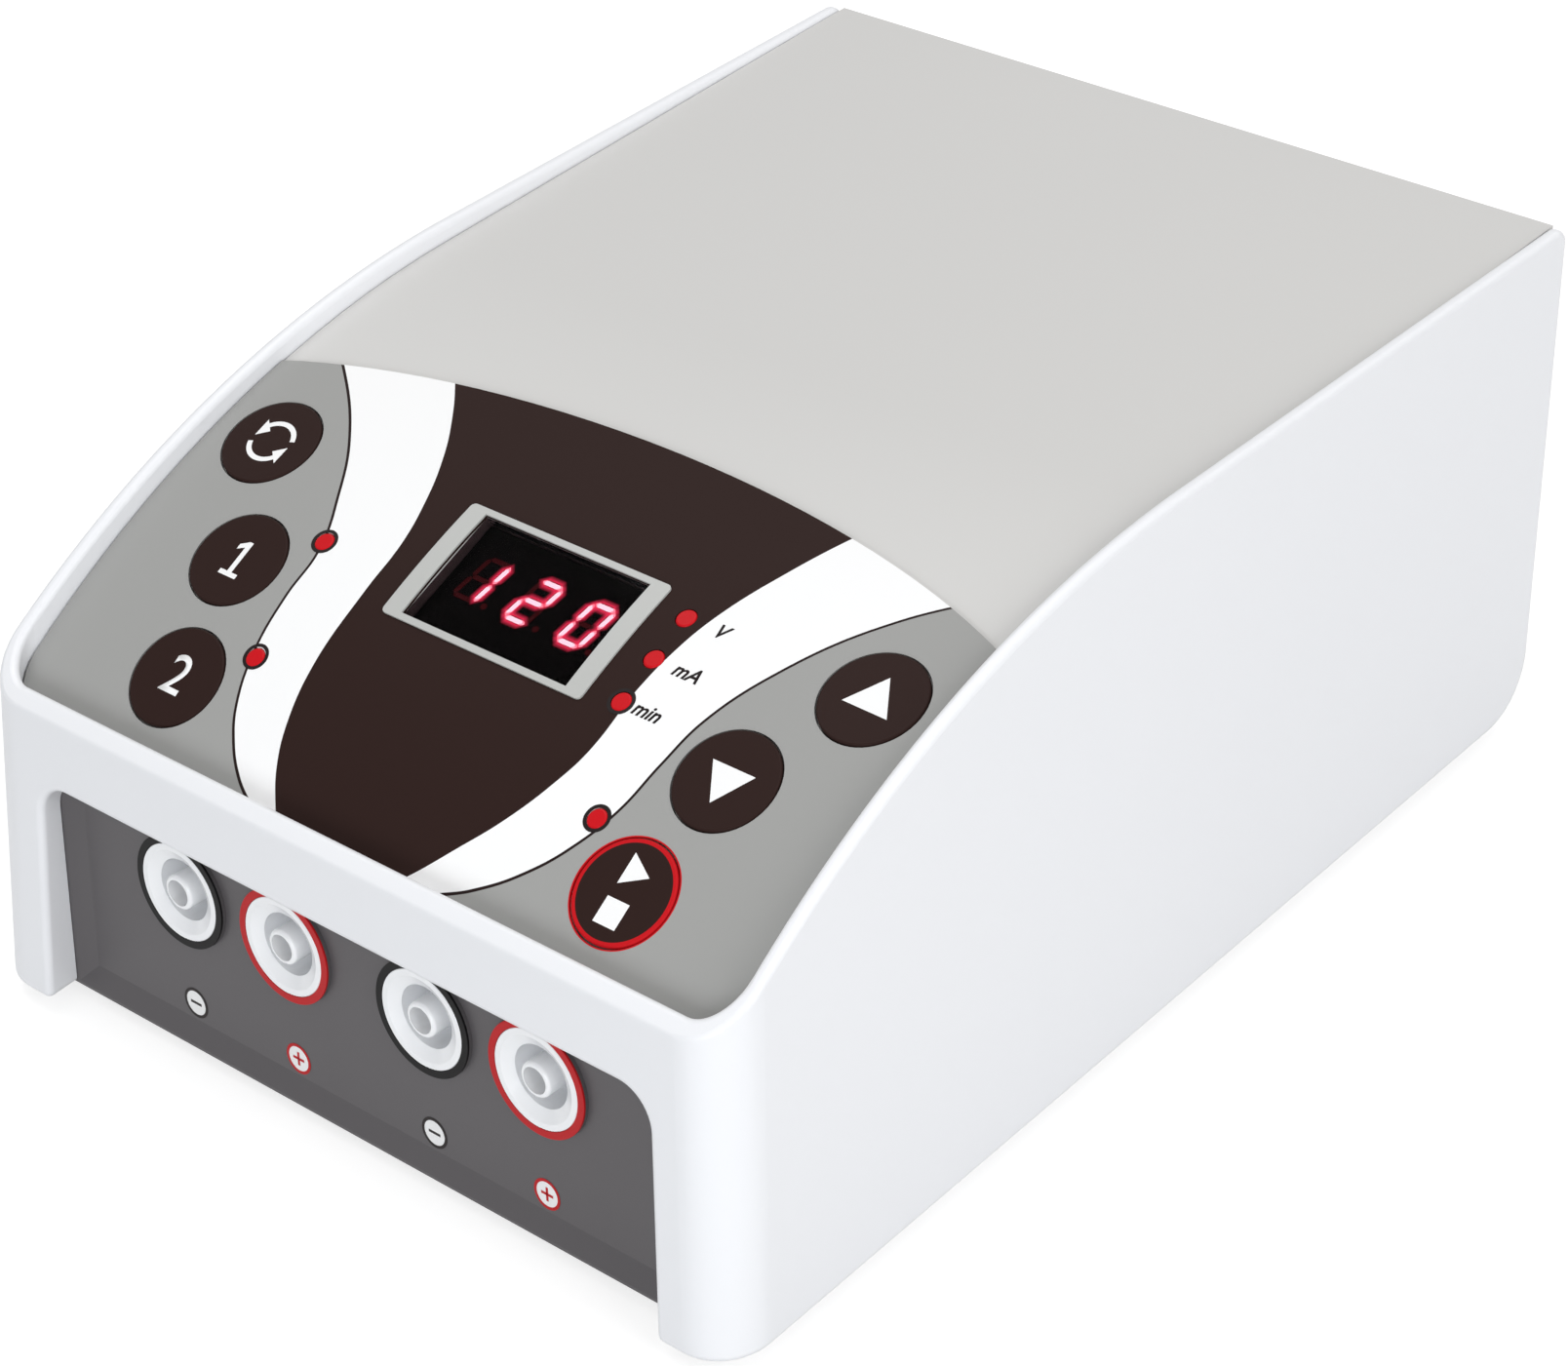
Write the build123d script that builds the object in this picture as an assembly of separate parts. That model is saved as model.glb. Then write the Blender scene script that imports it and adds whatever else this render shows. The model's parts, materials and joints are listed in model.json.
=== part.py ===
from build123d import *
import math
import os

# Electrophoresis power supply, in millimetres.
# Everything is drawn in the shell frame: X across, Y to the rear from the foot of the front
# face, Z up from the lower edge of the shell. Nodes move to the part's own frame on export.

# Shell
shell_width = 145.0
overall_depth = 193.2
shell_wall = 2.2
front_lip = 0.8
side_draft_angle = 2.2
front_lean_angle = 9.1
rear_lean_angle = 11.95
front_corner_radius = 8.0
rear_top_radius = 2.0
rear_bottom_radius = 11.0
rim_round = 0.9
merge = 0.4
space_low = -30.0
space_high = 130.0

# Rim line seen from the side: an arc that ends at the crest, then a straight fall to the rear.
# The cover and the film follow a second such line, drawn at the same height and then lowered.
crest_height = 76.05
rim_crest_y = 104.5
rim_crest_radius = 160.4
rim_fall_angle = 1.7
cover_crest_y = 102.1
cover_crest_radius = 157.0
cover_fall_angle = 0.3

# Front opening and the socket panel behind it
pillar_width = 12.7
lintel_height = 10.9
opening_radius = 5.5
opening_round = 1.1
collar_depth = 10.0
panel_lean_angle = 6.0
panel_setback = 5.4
panel_thickness = 3.6
panel_lip = 2.0
panel_gap = 0.3
tray_depth = 1.2
tray_slope = 3.3
tray_margin = 0.5
seat_gap = 0.1

# Top cover
cover_thickness = 2.4
cover_gap = 0.25
cover_front_y = 4.0
cover_rear_inset = 0.3
ledge_width = 3.0
ledge_thickness = 1.8
ledge_front_y = 13.5
ledge_rear_y = 176.0

# Printed film on the front half of the cover; its rear edge is an elliptical arc
film_recess = 2.2
film_thickness = 0.4
film_gap = 0.4
film_crown_y = 79.1
film_crown_rise = 36.0
film_crown_reach = 21.5

# Keys, in a row on each side; each place is an inset from the side and a depth
key_diameter = 15.2
key_thickness = 0.9
key_proud = 0.1
key_edge_round = 0.25
key_gap = 0.25
key_travel = 0.5
key_floor_gap = 0.2
key_stem_diameter = 4.0
key_stem_gap = 0.4
key_rest_gap = 0.1
key_rows = ((16.1, 55.3), (26.5, 37.9), (30.0, 21.1))
left_keys = ("key_mode", "key_step_1", "key_step_2")
right_keys = ("key_up", "key_down", "key_start")

# Indicator lights: three set in from the sides, three set out from the display window
led_diameter = 3.0
led_gap = 0.1
led_proud = 0.1
led_edge_round = 0.3
led_flange_diameter = 3.8
led_flange_thickness = 0.8
led_lead_diameter = 0.5
led_lead_pitch = 1.6
led_edge_insets = {
    "led_step_1": (-1, 37.2, 44.9),
    "led_step_2": (-1, 40.1, 27.3),
    "led_running": (1, 40.1, 27.3),
}
led_window_insets = {
    "led_volts": (8.4, 55.4),
    "led_milliamps": (8.7, 48.4),
    "led_minutes": (8.9, 41.5),
}

# Display: three digits of seven bars behind a filter
window_width = 31.0
window_height = 18.6
window_y = 48.95
frame_width = 37.4
frame_height = 20.6
frame_thickness = 0.3
frame_corner_radius = 0.8
filter_gap = 0.15
filter_sink = 0.5
filter_thickness = 1.6
module_drop = 0.2
module_depth = 8.0
module_gap = 0.4
digit_rise = 7.0
digit_span = 3.85
digit_stroke = 0.7
digit_pitch = 9.8
digit_shift = 0.85
digit_slant_angle = 10.0
bar_gap = 0.12
bar_relief = 0.1
dot_diameter = 1.0
shown_digits = "120"
bars_of_digit = {"0": "abcdef", "1": "bc", "2": "abdeg"}

# Control board under the cover
control_board_margin = 9.5
control_board_length = 56.0
control_board_shift = -6.5
board_thickness = 1.6
board_corner_radius = 2.0
switch_width = 6.0
switch_body_height = 3.4
switch_button_diameter = 3.4
switch_button_height = 1.4
switch_round = 0.6
board_post_diameter = 6.0
board_post_places = ((-33.0, 15.0), (33.0, 15.0), (-14.0, -27.0), (14.0, -27.0))
board_screw_diameter = 2.4
board_screw_length = 5.0
board_screw_head_diameter = 4.4
board_screw_head_height = 1.3
hole_gap = 0.2
thread_gap = 0.05

# Output sockets
socket_drop = 10.64
socket_pitch = 21.15
socket_pair_gap = 26.9
ring_diameter = 17.4
ring_thickness = 0.9
ring_gap = 0.05
ring_round = 0.1
pad_height = 0.6
flange_diameter = 15.0
flange_round = 0.15
dish_diameter = 13.0
dish_depth = 1.0
groove_diameter = 9.5
groove_depth = 7.5
tube_diameter = 5.3
tube_rise = 0.2
tube_round = 0.5
bore_diameter = 4.0
barrel_diameter = 12.8
barrel_length = 26.0
barrel_gap = 0.2
sleeve_diameter = 4.9
sleeve_depth = 5.5
sleeve_end = 1.2
tail_diameter = 2.4
tail_length = 6.0
nut_width = 16.8
nut_thickness = 3.0
output_board_gap = 3.0
output_board_margin = 11.5
output_board_rise = 10.0
output_board_floor_gap = 7.4

# Base tray, feet and base screws
skin_inset = 0.9
base_thickness = 2.0
base_gap = 0.3
base_rear_y = 158.0
base_rib_inset = 2.9
base_rib_gap = 5.7
base_rib_thickness = 1.6
foot_height = 2.5
foot_diameter = 12.0
foot_chamfer = 0.8
foot_inset = 18.0
foot_front_y = 24.0
foot_rear_y = 146.0
boss_diameter = 7.4
boss_height = 12.0
boss_front_y = 44.0
boss_rear_y = 126.0
screw_diameter = 2.6
screw_length = 9.0
screw_head_diameter = 5.4
screw_head_height = 1.2
slot_width = 0.7
slot_depth = 0.7
base_vent_width = 2.4
base_vent_length = 30.0
base_vent_pitch = 6.0
base_vent_count = 9
base_vent_y = 96.0

# Rear panel and its screws
rear_thickness = 2.4
rear_vent_width = 2.6
rear_vent_length = 26.0
rear_vent_pitch = 5.4
rear_vent_count = 6
rear_row_height = 38.0
lug_width = 9.0
lug_height = 8.0
lug_depth = 8.0
lug_inset = 9.5
lower_lug_height = 20.0
upper_lug_drop = 16.0

# Mains inlet with its fuse drawer, on the rear panel
inlet_inset = 34.5
inlet_flange_width = 31.0
inlet_flange_height = 40.0
inlet_flange_radius = 2.5
inlet_flange_thickness = 2.0
inlet_body_width = 27.4
inlet_body_height = 36.0
inlet_body_depth = 19.0
cavity_width = 24.4
cavity_height = 16.6
cavity_depth = 15.0
cavity_chamfer = 4.5
cavity_rise = 7.6
pin_width = 2.0
pin_height = 4.0
pin_reach = 9.5
pin_spread = 7.0
pin_offset = 2.0
pin_point = 0.4
blade_thickness = 0.8
blade_length = 8.0
drawer_width = 22.0
drawer_height = 9.0
drawer_depth = 14.0
drawer_gap = 0.3
drawer_drop = 11.0
drawer_face_thickness = 1.4
drawer_face_margin = 0.8
grip_width = 8.0
grip_height = 1.6
grip_depth = 0.7
fuse_diameter = 5.0
fuse_length = 20.0
fuse_cap_length = 5.0
fuse_cap_wall = 0.25
fuse_gap = 0.2
fuse_depth = 8.0

# Rocker switch, on the rear panel
rocker_inset = 28.5
rocker_frame_width = 15.0
rocker_frame_height = 21.0
rocker_frame_thickness = 1.6
rocker_frame_radius = 1.0
rocker_body_width = 12.8
rocker_body_height = 18.8
rocker_body_depth = 13.0
rocker_width = 10.0
rocker_length = 15.4
rocker_crest = 2.4
rocker_valley = 1.1
rocker_skirt = 0.6
rocker_heel_width = 2.2
rocker_heel_depth = 3.0
rocker_gap = 0.35
rocker_end_gap = 0.9
rocker_well_depth = 5.6
rocker_tilt = 9.0
rocker_round = 0.5
pivot_depth = 1.0
pivot_radius = 0.8
pivot_length = 0.8
pivot_gap = 0.1
terminal_width = 4.8
terminal_spread = 4.5
terminal_bite = 1.5

# Main board and what stands on it
main_board_margin = 14.5
main_board_front_y = 44.0
main_board_rear_y = 142.0
board_post_height = 6.0
board_corner_inset = 5.0
board_stand_diameter = 5.0
part_gap = 0.1
core_width = 38.0
core_stack = 16.0
core_height = 32.0
core_leg = 12.6
core_yoke = 6.3
core_place = (-30.0, 118.0)
winding_gap = 0.3
winding_round = 3.0
capacitor_diameter = 25.0
capacitor_height = 38.0
capacitor_round = 1.0
capacitor_groove = 0.8
capacitor_groove_height = 4.0
capacitor_places = ((8.0, 97.0), (8.0, 126.0))
sink_width = 11.0
sink_length = 60.0
sink_height = 32.0
sink_plate = 3.0
sink_fin = 1.5
sink_fin_count = 9
sink_inset = 8.0
sink_y = 102.0
transistor_width = 10.0
transistor_height = 15.0
transistor_thickness = 4.4
transistor_lift = 8.0
transistor_lead = 0.9
transistor_lead_pitch = 2.54
transistor_pitch = 30.0
relay_width = 19.0
relay_length = 15.4
relay_height = 15.6
relay_round = 0.8
relay_places = ((-22.0, 56.0), (22.0, 56.0))
choke_diameter = 22.0
choke_bore = 9.0
choke_height = 10.0
choke_round = 2.5
choke_inset = 18.0
choke_y = 80.0
header_width = 16.0
header_length = 5.0
header_height = 6.0
header_shift = 14.0
ribbon_width = 12.0
ribbon_thickness = 1.0
ribbon_drop = 14.0
ribbon_bend = 24.0

# Mains leads inside, from the inlet and the switch to the main board
lead_diameter = 1.8
lead_bend = 6.0
lead_end_y = 138.0
lead_drop = 18.0


def cosd(angle):
    return math.cos(math.radians(angle))


def sind(angle):
    return math.sin(math.radians(angle))


def tand(angle):
    return math.tan(math.radians(angle))


# How near a point lies to a surface to count as on it, and rounds that settle a crossing
touch = 0.05
settle_rounds = 40

# Depths below the rim line, heights and places that several pieces share
cover_top_drop = film_recess + film_thickness
cover_bottom_drop = cover_top_drop + cover_thickness
base_top = skin_inset + base_thickness
board_top = base_top + board_post_height + board_thickness
rim_line = (rim_crest_y, rim_crest_radius, rim_fall_angle)
cover_line = (cover_crest_y, cover_crest_radius, cover_fall_angle)
tube_tip = ring_thickness + tube_rise
boss_x = shell_width / 2 - shell_wall - boss_diameter / 2
foot_x = shell_width / 2 - foot_inset
lug_x = shell_width / 2 - lug_inset
lug_heights = (lower_lug_height, crest_height - upper_lug_drop)
opening_width = shell_width - 2 * pillar_width
film_crown_span = shell_width / 2 + film_crown_reach
control_board_width = shell_width - 2 * control_board_margin
main_board_width = shell_width - 2 * main_board_margin
sink_place = (main_board_width / 2 - sink_inset, sink_y)
choke_place = (choke_inset - main_board_width / 2, choke_y)
inlet_x = inlet_inset - shell_width / 2
rocker_x = shell_width / 2 - rocker_inset
rear_vent_x = (inlet_x + inlet_flange_width / 2 + rocker_x - rocker_frame_width / 2) / 2
switch_height = switch_body_height + switch_button_height
module_face = -(filter_sink + filter_thickness + module_drop)
socket_places = [
    -socket_pair_gap / 2 - socket_pitch,
    -socket_pair_gap / 2,
    socket_pair_gap / 2,
    socket_pair_gap / 2 + socket_pitch,
]
output_board_width = 2 * (socket_places[-1] + output_board_margin)
key_places = {}
for left_key, right_key, (key_inset, key_y) in zip(left_keys, right_keys, key_rows):
    key_places[left_key] = (key_inset - shell_width / 2, key_y)
    key_places[right_key] = (shell_width / 2 - key_inset, key_y)
led_places = {}
for led_name, (led_side, led_inset, led_y) in led_edge_insets.items():
    led_places[led_name] = (led_side * (shell_width / 2 - led_inset), led_y)
for led_name, (led_inset, led_y) in led_window_insets.items():
    led_places[led_name] = (window_width / 2 + led_inset, led_y)


# Curves of the rim, the cover and the film; a line is its crest's depth, radius and fall


def arc_centre(drop, line):
    """Centre and radius of a line's arc, lowered by drop."""
    crest_y, full_radius, fall = line
    radius = full_radius - drop
    centre_y = crest_y - radius * sind(fall)
    centre_z = crest_height - drop - radius * cosd(fall)
    return centre_y, centre_z, radius


def top_height(y, drop, line):
    """Height of a line at y, lowered by drop."""
    crest_y, _, fall = line
    if y >= crest_y:
        return crest_height - drop - (y - crest_y) * tand(fall)
    centre_y, centre_z, radius = arc_centre(drop, line)
    return centre_z + math.sqrt(radius**2 - (y - centre_y) ** 2)


def film_tilt(y):
    """Angle of the film's tangent above the horizontal at y, in degrees."""
    centre_y, _, radius = arc_centre(film_recess, cover_line)
    return math.degrees(math.asin((centre_y - y) / radius))


def top_edge(y_start, y_end, drop, line):
    """Edges along a line from y_start to y_end, either way round."""
    crest_y = line[0]
    stops = [y_start, y_end]
    if min(stops) < crest_y < max(stops):
        stops = [y_start, crest_y, y_end]
    edges = []
    for start, end in zip(stops, stops[1:]):
        middle = (start + end) / 2
        points = [(y, top_height(y, drop, line)) for y in (start, middle, end)]
        if middle > crest_y:
            edges.append(Line(points[0], points[2]))
        else:
            edges.append(ThreePointArc(*points))
    return edges


def front_y(z, inset=0.0):
    """Depth of the leaned front face at height z, moved inwards by inset."""
    return z * tand(front_lean_angle) + inset / cosd(front_lean_angle)


def front_top(drop, line):
    """Point where the front face meets a line, lowered by drop."""
    y = 0.0
    for _ in range(settle_rounds):
        y = front_y(top_height(y, drop, line))
    return y, top_height(y, drop, line)


# The front opening ends below the rim, and the sockets sit below its upper edge
opening_height = front_top(0.0, rim_line)[1] - lintel_height
socket_height = opening_height - socket_drop
rib_top = socket_height - nut_width / math.sqrt(3) - base_rib_gap


def rear_line():
    """Depth of the rear face at height 0; it touches the round top corner at overall_depth."""
    centre_y = overall_depth - rear_top_radius
    centre_z = top_height(centre_y, 0.0, rim_line) - rear_top_radius / cosd(rim_fall_angle)
    touch_y = centre_y + rear_top_radius * cosd(rear_lean_angle)
    touch_z = centre_z - rear_top_radius * sind(rear_lean_angle)
    return touch_y - touch_z * tand(rear_lean_angle)


def rear_y(z, inset=0.0):
    """Depth of the leaned rear face at height z, moved inwards by inset."""
    return rear_line() + z * tand(rear_lean_angle) - inset / cosd(rear_lean_angle)


def extrude_across(face, half=shell_width):
    """Solid from a side view, symmetric about the middle plane."""
    return extrude(Plane.YZ * face, amount=half, both=True)


def edges_to_face(edges):
    return make_face(Curve() + edges)


def band(drop_top, drop_bottom, y_start, y_end):
    """Sheet along the cover's line between two drops, full width."""
    top = top_edge(y_start, y_end, drop_top, cover_line)
    bottom = top_edge(y_end, y_start, drop_bottom, cover_line)
    rear = Line(top[-1] @ 1, bottom[0] @ 0)
    front = Line(bottom[-1] @ 1, top[0] @ 0)
    return extrude_across(edges_to_face(top + [rear] + bottom + [front]))


def drafted_space(inset):
    """Space between the side planes, moved inwards by inset."""
    half = shell_width / 2 - inset / cosd(side_draft_angle)
    outline = Polyline(
        (half - space_low * tand(side_draft_angle), space_low),
        (half - space_high * tand(side_draft_angle), space_high),
        (-half + space_high * tand(side_draft_angle), space_high),
        (-half + space_low * tand(side_draft_angle), space_low),
        close=True,
    )
    plane = Plane.XZ.offset(-overall_depth / 2)
    return extrude(plane * make_face(outline), amount=overall_depth, both=True)


def side_strip(y_low, y_high, far):
    """Space from a slanted line in the side view, through two depths, to a far depth."""
    outline = Polyline(
        (y_low, space_low),
        (y_high, space_high),
        (far, space_high),
        (far, space_low),
        close=True,
    )
    return extrude_across(make_face(outline))


def behind_front(inset):
    """Space behind the front face, moved inwards by inset."""
    return side_strip(front_y(space_low, inset), front_y(space_high, inset), 2 * overall_depth)


def plan_space(inset, lip=0.0):
    """Inside of the shell's plan at an inset, and behind a lip, with rounded front corners."""
    space = drafted_space(inset) & behind_front(inset + lip)
    tall = 0.9 * (space_high - space_low)
    uprights = space.edges().filter_by(lambda edge: edge.bounding_box().size.Z > tall)
    return fillet(uprights.sort_by(Axis.Y)[:2], front_corner_radius - inset)


def side_profile(inset=0.0, top_drop=0.0, line=rim_line):
    """Side view of the housing, moved inwards by inset at the rear and the bottom."""
    start = front_top(top_drop, line)
    top_rear = overall_depth
    for _ in range(settle_rounds):
        top_rear = rear_y(top_height(top_rear, top_drop, line), inset)
    corner = (top_rear, top_height(top_rear, top_drop, line))
    foot = (rear_y(inset, inset), inset)
    edges = top_edge(start[0], corner[0], top_drop, line)
    edges += [Line(corner, foot), Line(foot, (0, inset)), Line((0, inset), start)]
    face = edges_to_face(edges)
    heel = face.vertices().filter_by_position(Axis.X, foot[0] - merge, foot[0] + merge)
    face = fillet(heel, rear_bottom_radius - inset)
    if inset == 0:
        face = fillet(face.vertices().sort_by(Axis.X)[-1], rear_top_radius)
    return face


def panel_y(z, behind=0.0):
    """Depth of the socket panel's border face at height z."""
    return panel_setback + z * tand(panel_lean_angle) + behind / cosd(panel_lean_angle)


def front_of_panel(gap):
    """Space in front of the socket panel, with a gap."""
    return side_strip(panel_y(space_low, -gap), panel_y(space_high, -gap), -overall_depth)


def behind_panel(gap):
    """Space behind the socket panel, with a gap."""
    depth = panel_thickness + gap
    return side_strip(panel_y(space_low, depth), panel_y(space_high, depth), 2 * overall_depth)


def level_space(low, high):
    """Space between two heights."""
    size = 4 * overall_depth
    return Pos(0, 0, (low + high) / 2) * Box(size, size, high - low)


# Planes that pieces are drawn on


def front_plane(lift=0.0):
    """Plane of the front face; its Y runs up the face and its Z points out."""
    origin = (0, -lift * cosd(front_lean_angle), lift * sind(front_lean_angle))
    return Plane(origin=origin, x_dir=(1, 0, 0), z_dir=(0, -cosd(front_lean_angle), sind(front_lean_angle)))


def panel_plane(behind=0.0):
    """Plane of the socket panel at height 0, moved back by behind; its Z points out."""
    origin = (0, panel_y(0, behind), 0)
    return Plane(origin=origin, x_dir=(1, 0, 0), z_dir=(0, -cosd(panel_lean_angle), sind(panel_lean_angle)))


def socket_place(x):
    """Place on the floor of the panel's tray where a socket sits; its Z points out."""
    origin = (x, panel_y(socket_height, tray_depth), socket_height)
    z_dir = (0, -cosd(panel_lean_angle), sind(panel_lean_angle))
    return Plane(origin=origin, x_dir=(1, 0, 0), z_dir=z_dir).location


def film_plane(x, y, lift=0.0):
    """Plane on the film's top face at x, y; its Z points out of the film."""
    tilt = film_tilt(y)
    height = top_height(y, film_recess, cover_line)
    origin = (x, y - lift * sind(tilt), height + lift * cosd(tilt))
    return Plane(origin=origin, x_dir=(1, 0, 0), z_dir=(0, -sind(tilt), cosd(tilt)))


def control_plane():
    """Top face of the control board, parallel to the film at the display."""
    return film_plane(0, window_y, module_face - module_depth)


def rear_place(x, height):
    """Place on the rear panel's outer face; its Z points out of the rear."""
    origin = (x, rear_y(height, skin_inset), height)
    z_dir = (0, cosd(rear_lean_angle), -sind(rear_lean_angle))
    return Plane(origin=origin, x_dir=(-1, 0, 0), z_dir=z_dir).location


def on_control_board(x, y, height):
    """Place on the control board that the film's normal at x, y meets at a height above it."""
    start = film_plane(x, y)
    board = control_plane()
    above = (start.origin - board.origin).dot(board.z_dir) - height
    point = start.origin - start.z_dir * (above / start.z_dir.dot(board.z_dir))
    local = board.to_local_coords(point)
    return board.location * Pos(local.X, local.Y, 0)


# Simple solids on a local plane


def post(diameter, low, high):
    """Round post along the local axis, from low to high."""
    return Pos(0, 0, (low + high) / 2) * Cylinder(diameter / 2, high - low)


def slab(width, height, low, high, radius=0.0):
    """Rectangular plate across the local axis, from low to high, with round corners."""
    outline = RectangleRounded(width, height, radius) if radius else Rectangle(width, height)
    return extrude(Plane.XY.offset(low) * outline, amount=high - low)


def long_hole(width, length, low, high):
    """Slot with round ends along the local Y, from low to high."""
    outline = SlotOverall(length, width, rotation=90)
    return extrude(Plane.XY.offset(low) * outline, amount=high - low)


def screw(diameter, length, head_diameter, head_height):
    """Pan head screw with a cross recess; its head stands on the local plane."""
    head = post(head_diameter, 0, head_height)
    head = fillet(head.edges().group_by(Axis.Z)[-1], head_height / 3)
    body = head + post(diameter, -length, merge)
    tip = body.edges().group_by(Axis.Z)[0]
    body = chamfer(tip, diameter / 5)
    for turn in (0, 90):
        cut = slab(head_diameter / 2, slot_width, head_height - slot_depth, 2 * head_height)
        body = body - Rot(0, 0, turn) * cut
    return body


# Housing


def opening_outline(grow=0.0):
    """Front opening on the front face: open below, rounded above."""
    low = -2 * shell_wall
    top = opening_height / cosd(front_lean_angle) + grow
    half = opening_width / 2 + grow
    outline = make_face(
        Polyline(
            (half - low * tand(side_draft_angle), low),
            (half - top * tand(side_draft_angle), top),
            (-half + top * tand(side_draft_angle), top),
            (-half + low * tand(side_draft_angle), low),
            close=True,
        )
    )
    corners = outline.vertices().sort_by(Axis.Y)[-2:]
    return fillet(corners, opening_radius + grow)


def on_rim(edge):
    """True for an edge that lies on the rim line or on the rear face of the shell."""
    corner_y = overall_depth - rear_top_radius
    corner_z = top_height(corner_y, 0.0, rim_line) - rear_top_radius / cosd(rim_fall_angle)
    for step in (0.1, 0.5, 0.9):
        point = edge @ step
        from_top = abs(point.Z - top_height(point.Y, 0.0, rim_line))
        from_rear = abs(point.Y - rear_y(point.Z))
        from_corner = abs(math.hypot(point.Y - corner_y, point.Z - corner_z) - rear_top_radius)
        if point.Z < rear_bottom_radius or min(from_top, from_rear, from_corner) > touch:
            return False
    return True


def on_opening(edge):
    """True for an edge of the front opening that lies in the front face."""
    points = [edge @ step for step in (0.1, 0.5, 0.9)]
    in_face = all(abs(point.Y - front_y(point.Z)) < touch for point in points)
    middle = points[1]
    inside = abs(middle.X) < opening_width / 2 + touch and middle.Z < opening_height + touch
    return in_face and inside and edge.length > opening_radius


def shell_walls():
    """Front and side walls, with a lip above the front opening and a collar around it."""
    outside = plan_space(0.0) & extrude_across(side_profile())
    below_lip = level_space(space_low, opening_height + shell_wall / 2)
    shell = outside - (plan_space(shell_wall) & below_lip) - plan_space(shell_wall, front_lip)
    collar = extrude(front_plane() * opening_outline(shell_wall), amount=-collar_depth)
    collar = collar & front_of_panel(seat_gap) & level_space(0, space_high)
    opening = extrude(front_plane(shell_wall) * opening_outline(), amount=-2 * shell_wall - collar_depth)
    shell = shell + collar - opening
    shell = fillet(shell.edges().filter_by(on_rim), rim_round)
    return fillet(shell.edges().filter_by(on_opening), opening_round)


def cover_ledge():
    """Ledge along the side walls that carries the top cover."""
    drop = cover_bottom_drop + seat_gap
    ledge = band(drop, drop + ledge_thickness, ledge_front_y, ledge_rear_y)
    return (ledge & plan_space(shell_wall - merge)) - plan_space(shell_wall + ledge_width)


def outer_shell():
    shell = shell_walls() + cover_ledge()
    low = base_top + seat_gap
    joined = plan_space(shell_wall - merge)
    for side in (-1, 1):
        for y in (boss_front_y, boss_rear_y):
            boss = post(boss_diameter, low, boss_height)
            web = Pos(side * boss_diameter / 2, 0, 0) * slab(boss_diameter, shell_wall, low, boss_height)
            pilot = post(screw_diameter + 2 * thread_gap, low - merge, low + screw_length)
            place = Pos(side * boss_x, y, 0)
            shell = shell + (place * (boss + web) & joined) - place * pilot
        for height in lug_heights:
            place = rear_place(side * lug_x, height)
            back = -rear_thickness - seat_gap
            lug = slab(1.5 * lug_width, lug_height, back - lug_depth, back)
            lug = Pos(-side * lug_width / 4, 0, 0) * lug
            pilot = post(screw_diameter + 2 * thread_gap, -screw_length - merge, merge)
            shell = shell + (place * lug & joined) - place * pilot
    return shell


def top_cover():
    cover = band(cover_top_drop, cover_bottom_drop, cover_front_y, 2 * overall_depth)
    rear_edge = (rear_y(space_low, cover_rear_inset), rear_y(space_high, cover_rear_inset))
    cover = cover & plan_space(shell_wall + cover_gap, front_lip)
    cover = cover - side_strip(*rear_edge, 3 * overall_depth)
    key_floor = key_proud - key_thickness - key_travel - key_floor_gap
    for x, y in key_places.values():
        place = film_plane(x, y).location
        cover = cover - place * post(key_diameter + 2 * key_gap, key_floor, film_recess)
        cover = cover - place * post(key_stem_diameter + 2 * key_stem_gap, -2 * cover_thickness, film_recess)
    for x, y in led_places.values():
        hole = post(led_diameter + 2 * led_gap, -3 * cover_thickness, film_recess)
        cover = cover - film_plane(x, y).location * hole
    window = slab(window_width, window_height, -3 * cover_thickness, film_recess)
    cover = cover - film_plane(0, window_y).location * window
    below_cover = band(cover_bottom_drop - merge, crest_height / 2, cover_front_y, cover_crest_y)
    for x, y in board_post_places:
        place = control_plane().location * Pos(x, y, 0)
        stem = place * post(board_post_diameter, seat_gap, crest_height) & below_cover
        free_length = board_screw_length - board_thickness + seat_gap
        pilot = post(board_screw_diameter + 2 * thread_gap, 0, free_length)
        cover = cover + stem - place * pilot
    return cover


def rear_panel():
    drop = cover_bottom_drop + seat_gap
    outer = side_profile(skin_inset, drop, cover_line)
    inner = side_profile(skin_inset + rear_thickness, drop - merge, cover_line)
    panel = extrude_across(outer) - extrude_across(inner)
    panel = panel & plan_space(shell_wall + cover_gap)
    front_limit = base_rear_y + base_gap
    panel = panel & side_strip(front_limit, front_limit, 2 * overall_depth)
    inside, outside = -3 * rear_thickness, rear_thickness
    cut = slab(inlet_body_width + 2 * hole_gap, inlet_body_height + 2 * hole_gap, inside, outside)
    panel = panel - rear_place(inlet_x, rear_row_height) * cut
    cut = slab(rocker_body_width + 2 * hole_gap, rocker_body_height + 2 * hole_gap, inside, outside)
    panel = panel - rear_place(rocker_x, rear_row_height) * cut
    for index in range(rear_vent_count):
        x = rear_vent_x + (index - (rear_vent_count - 1) / 2) * rear_vent_pitch
        vent = long_hole(rear_vent_width, rear_vent_length, inside, outside)
        panel = panel - rear_place(x, rear_row_height) * vent
    for side in (-1, 1):
        for height in lug_heights:
            hole = post(screw_diameter + 2 * hole_gap, inside, outside)
            panel = panel - rear_place(side * lug_x, height) * hole
    return panel


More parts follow.
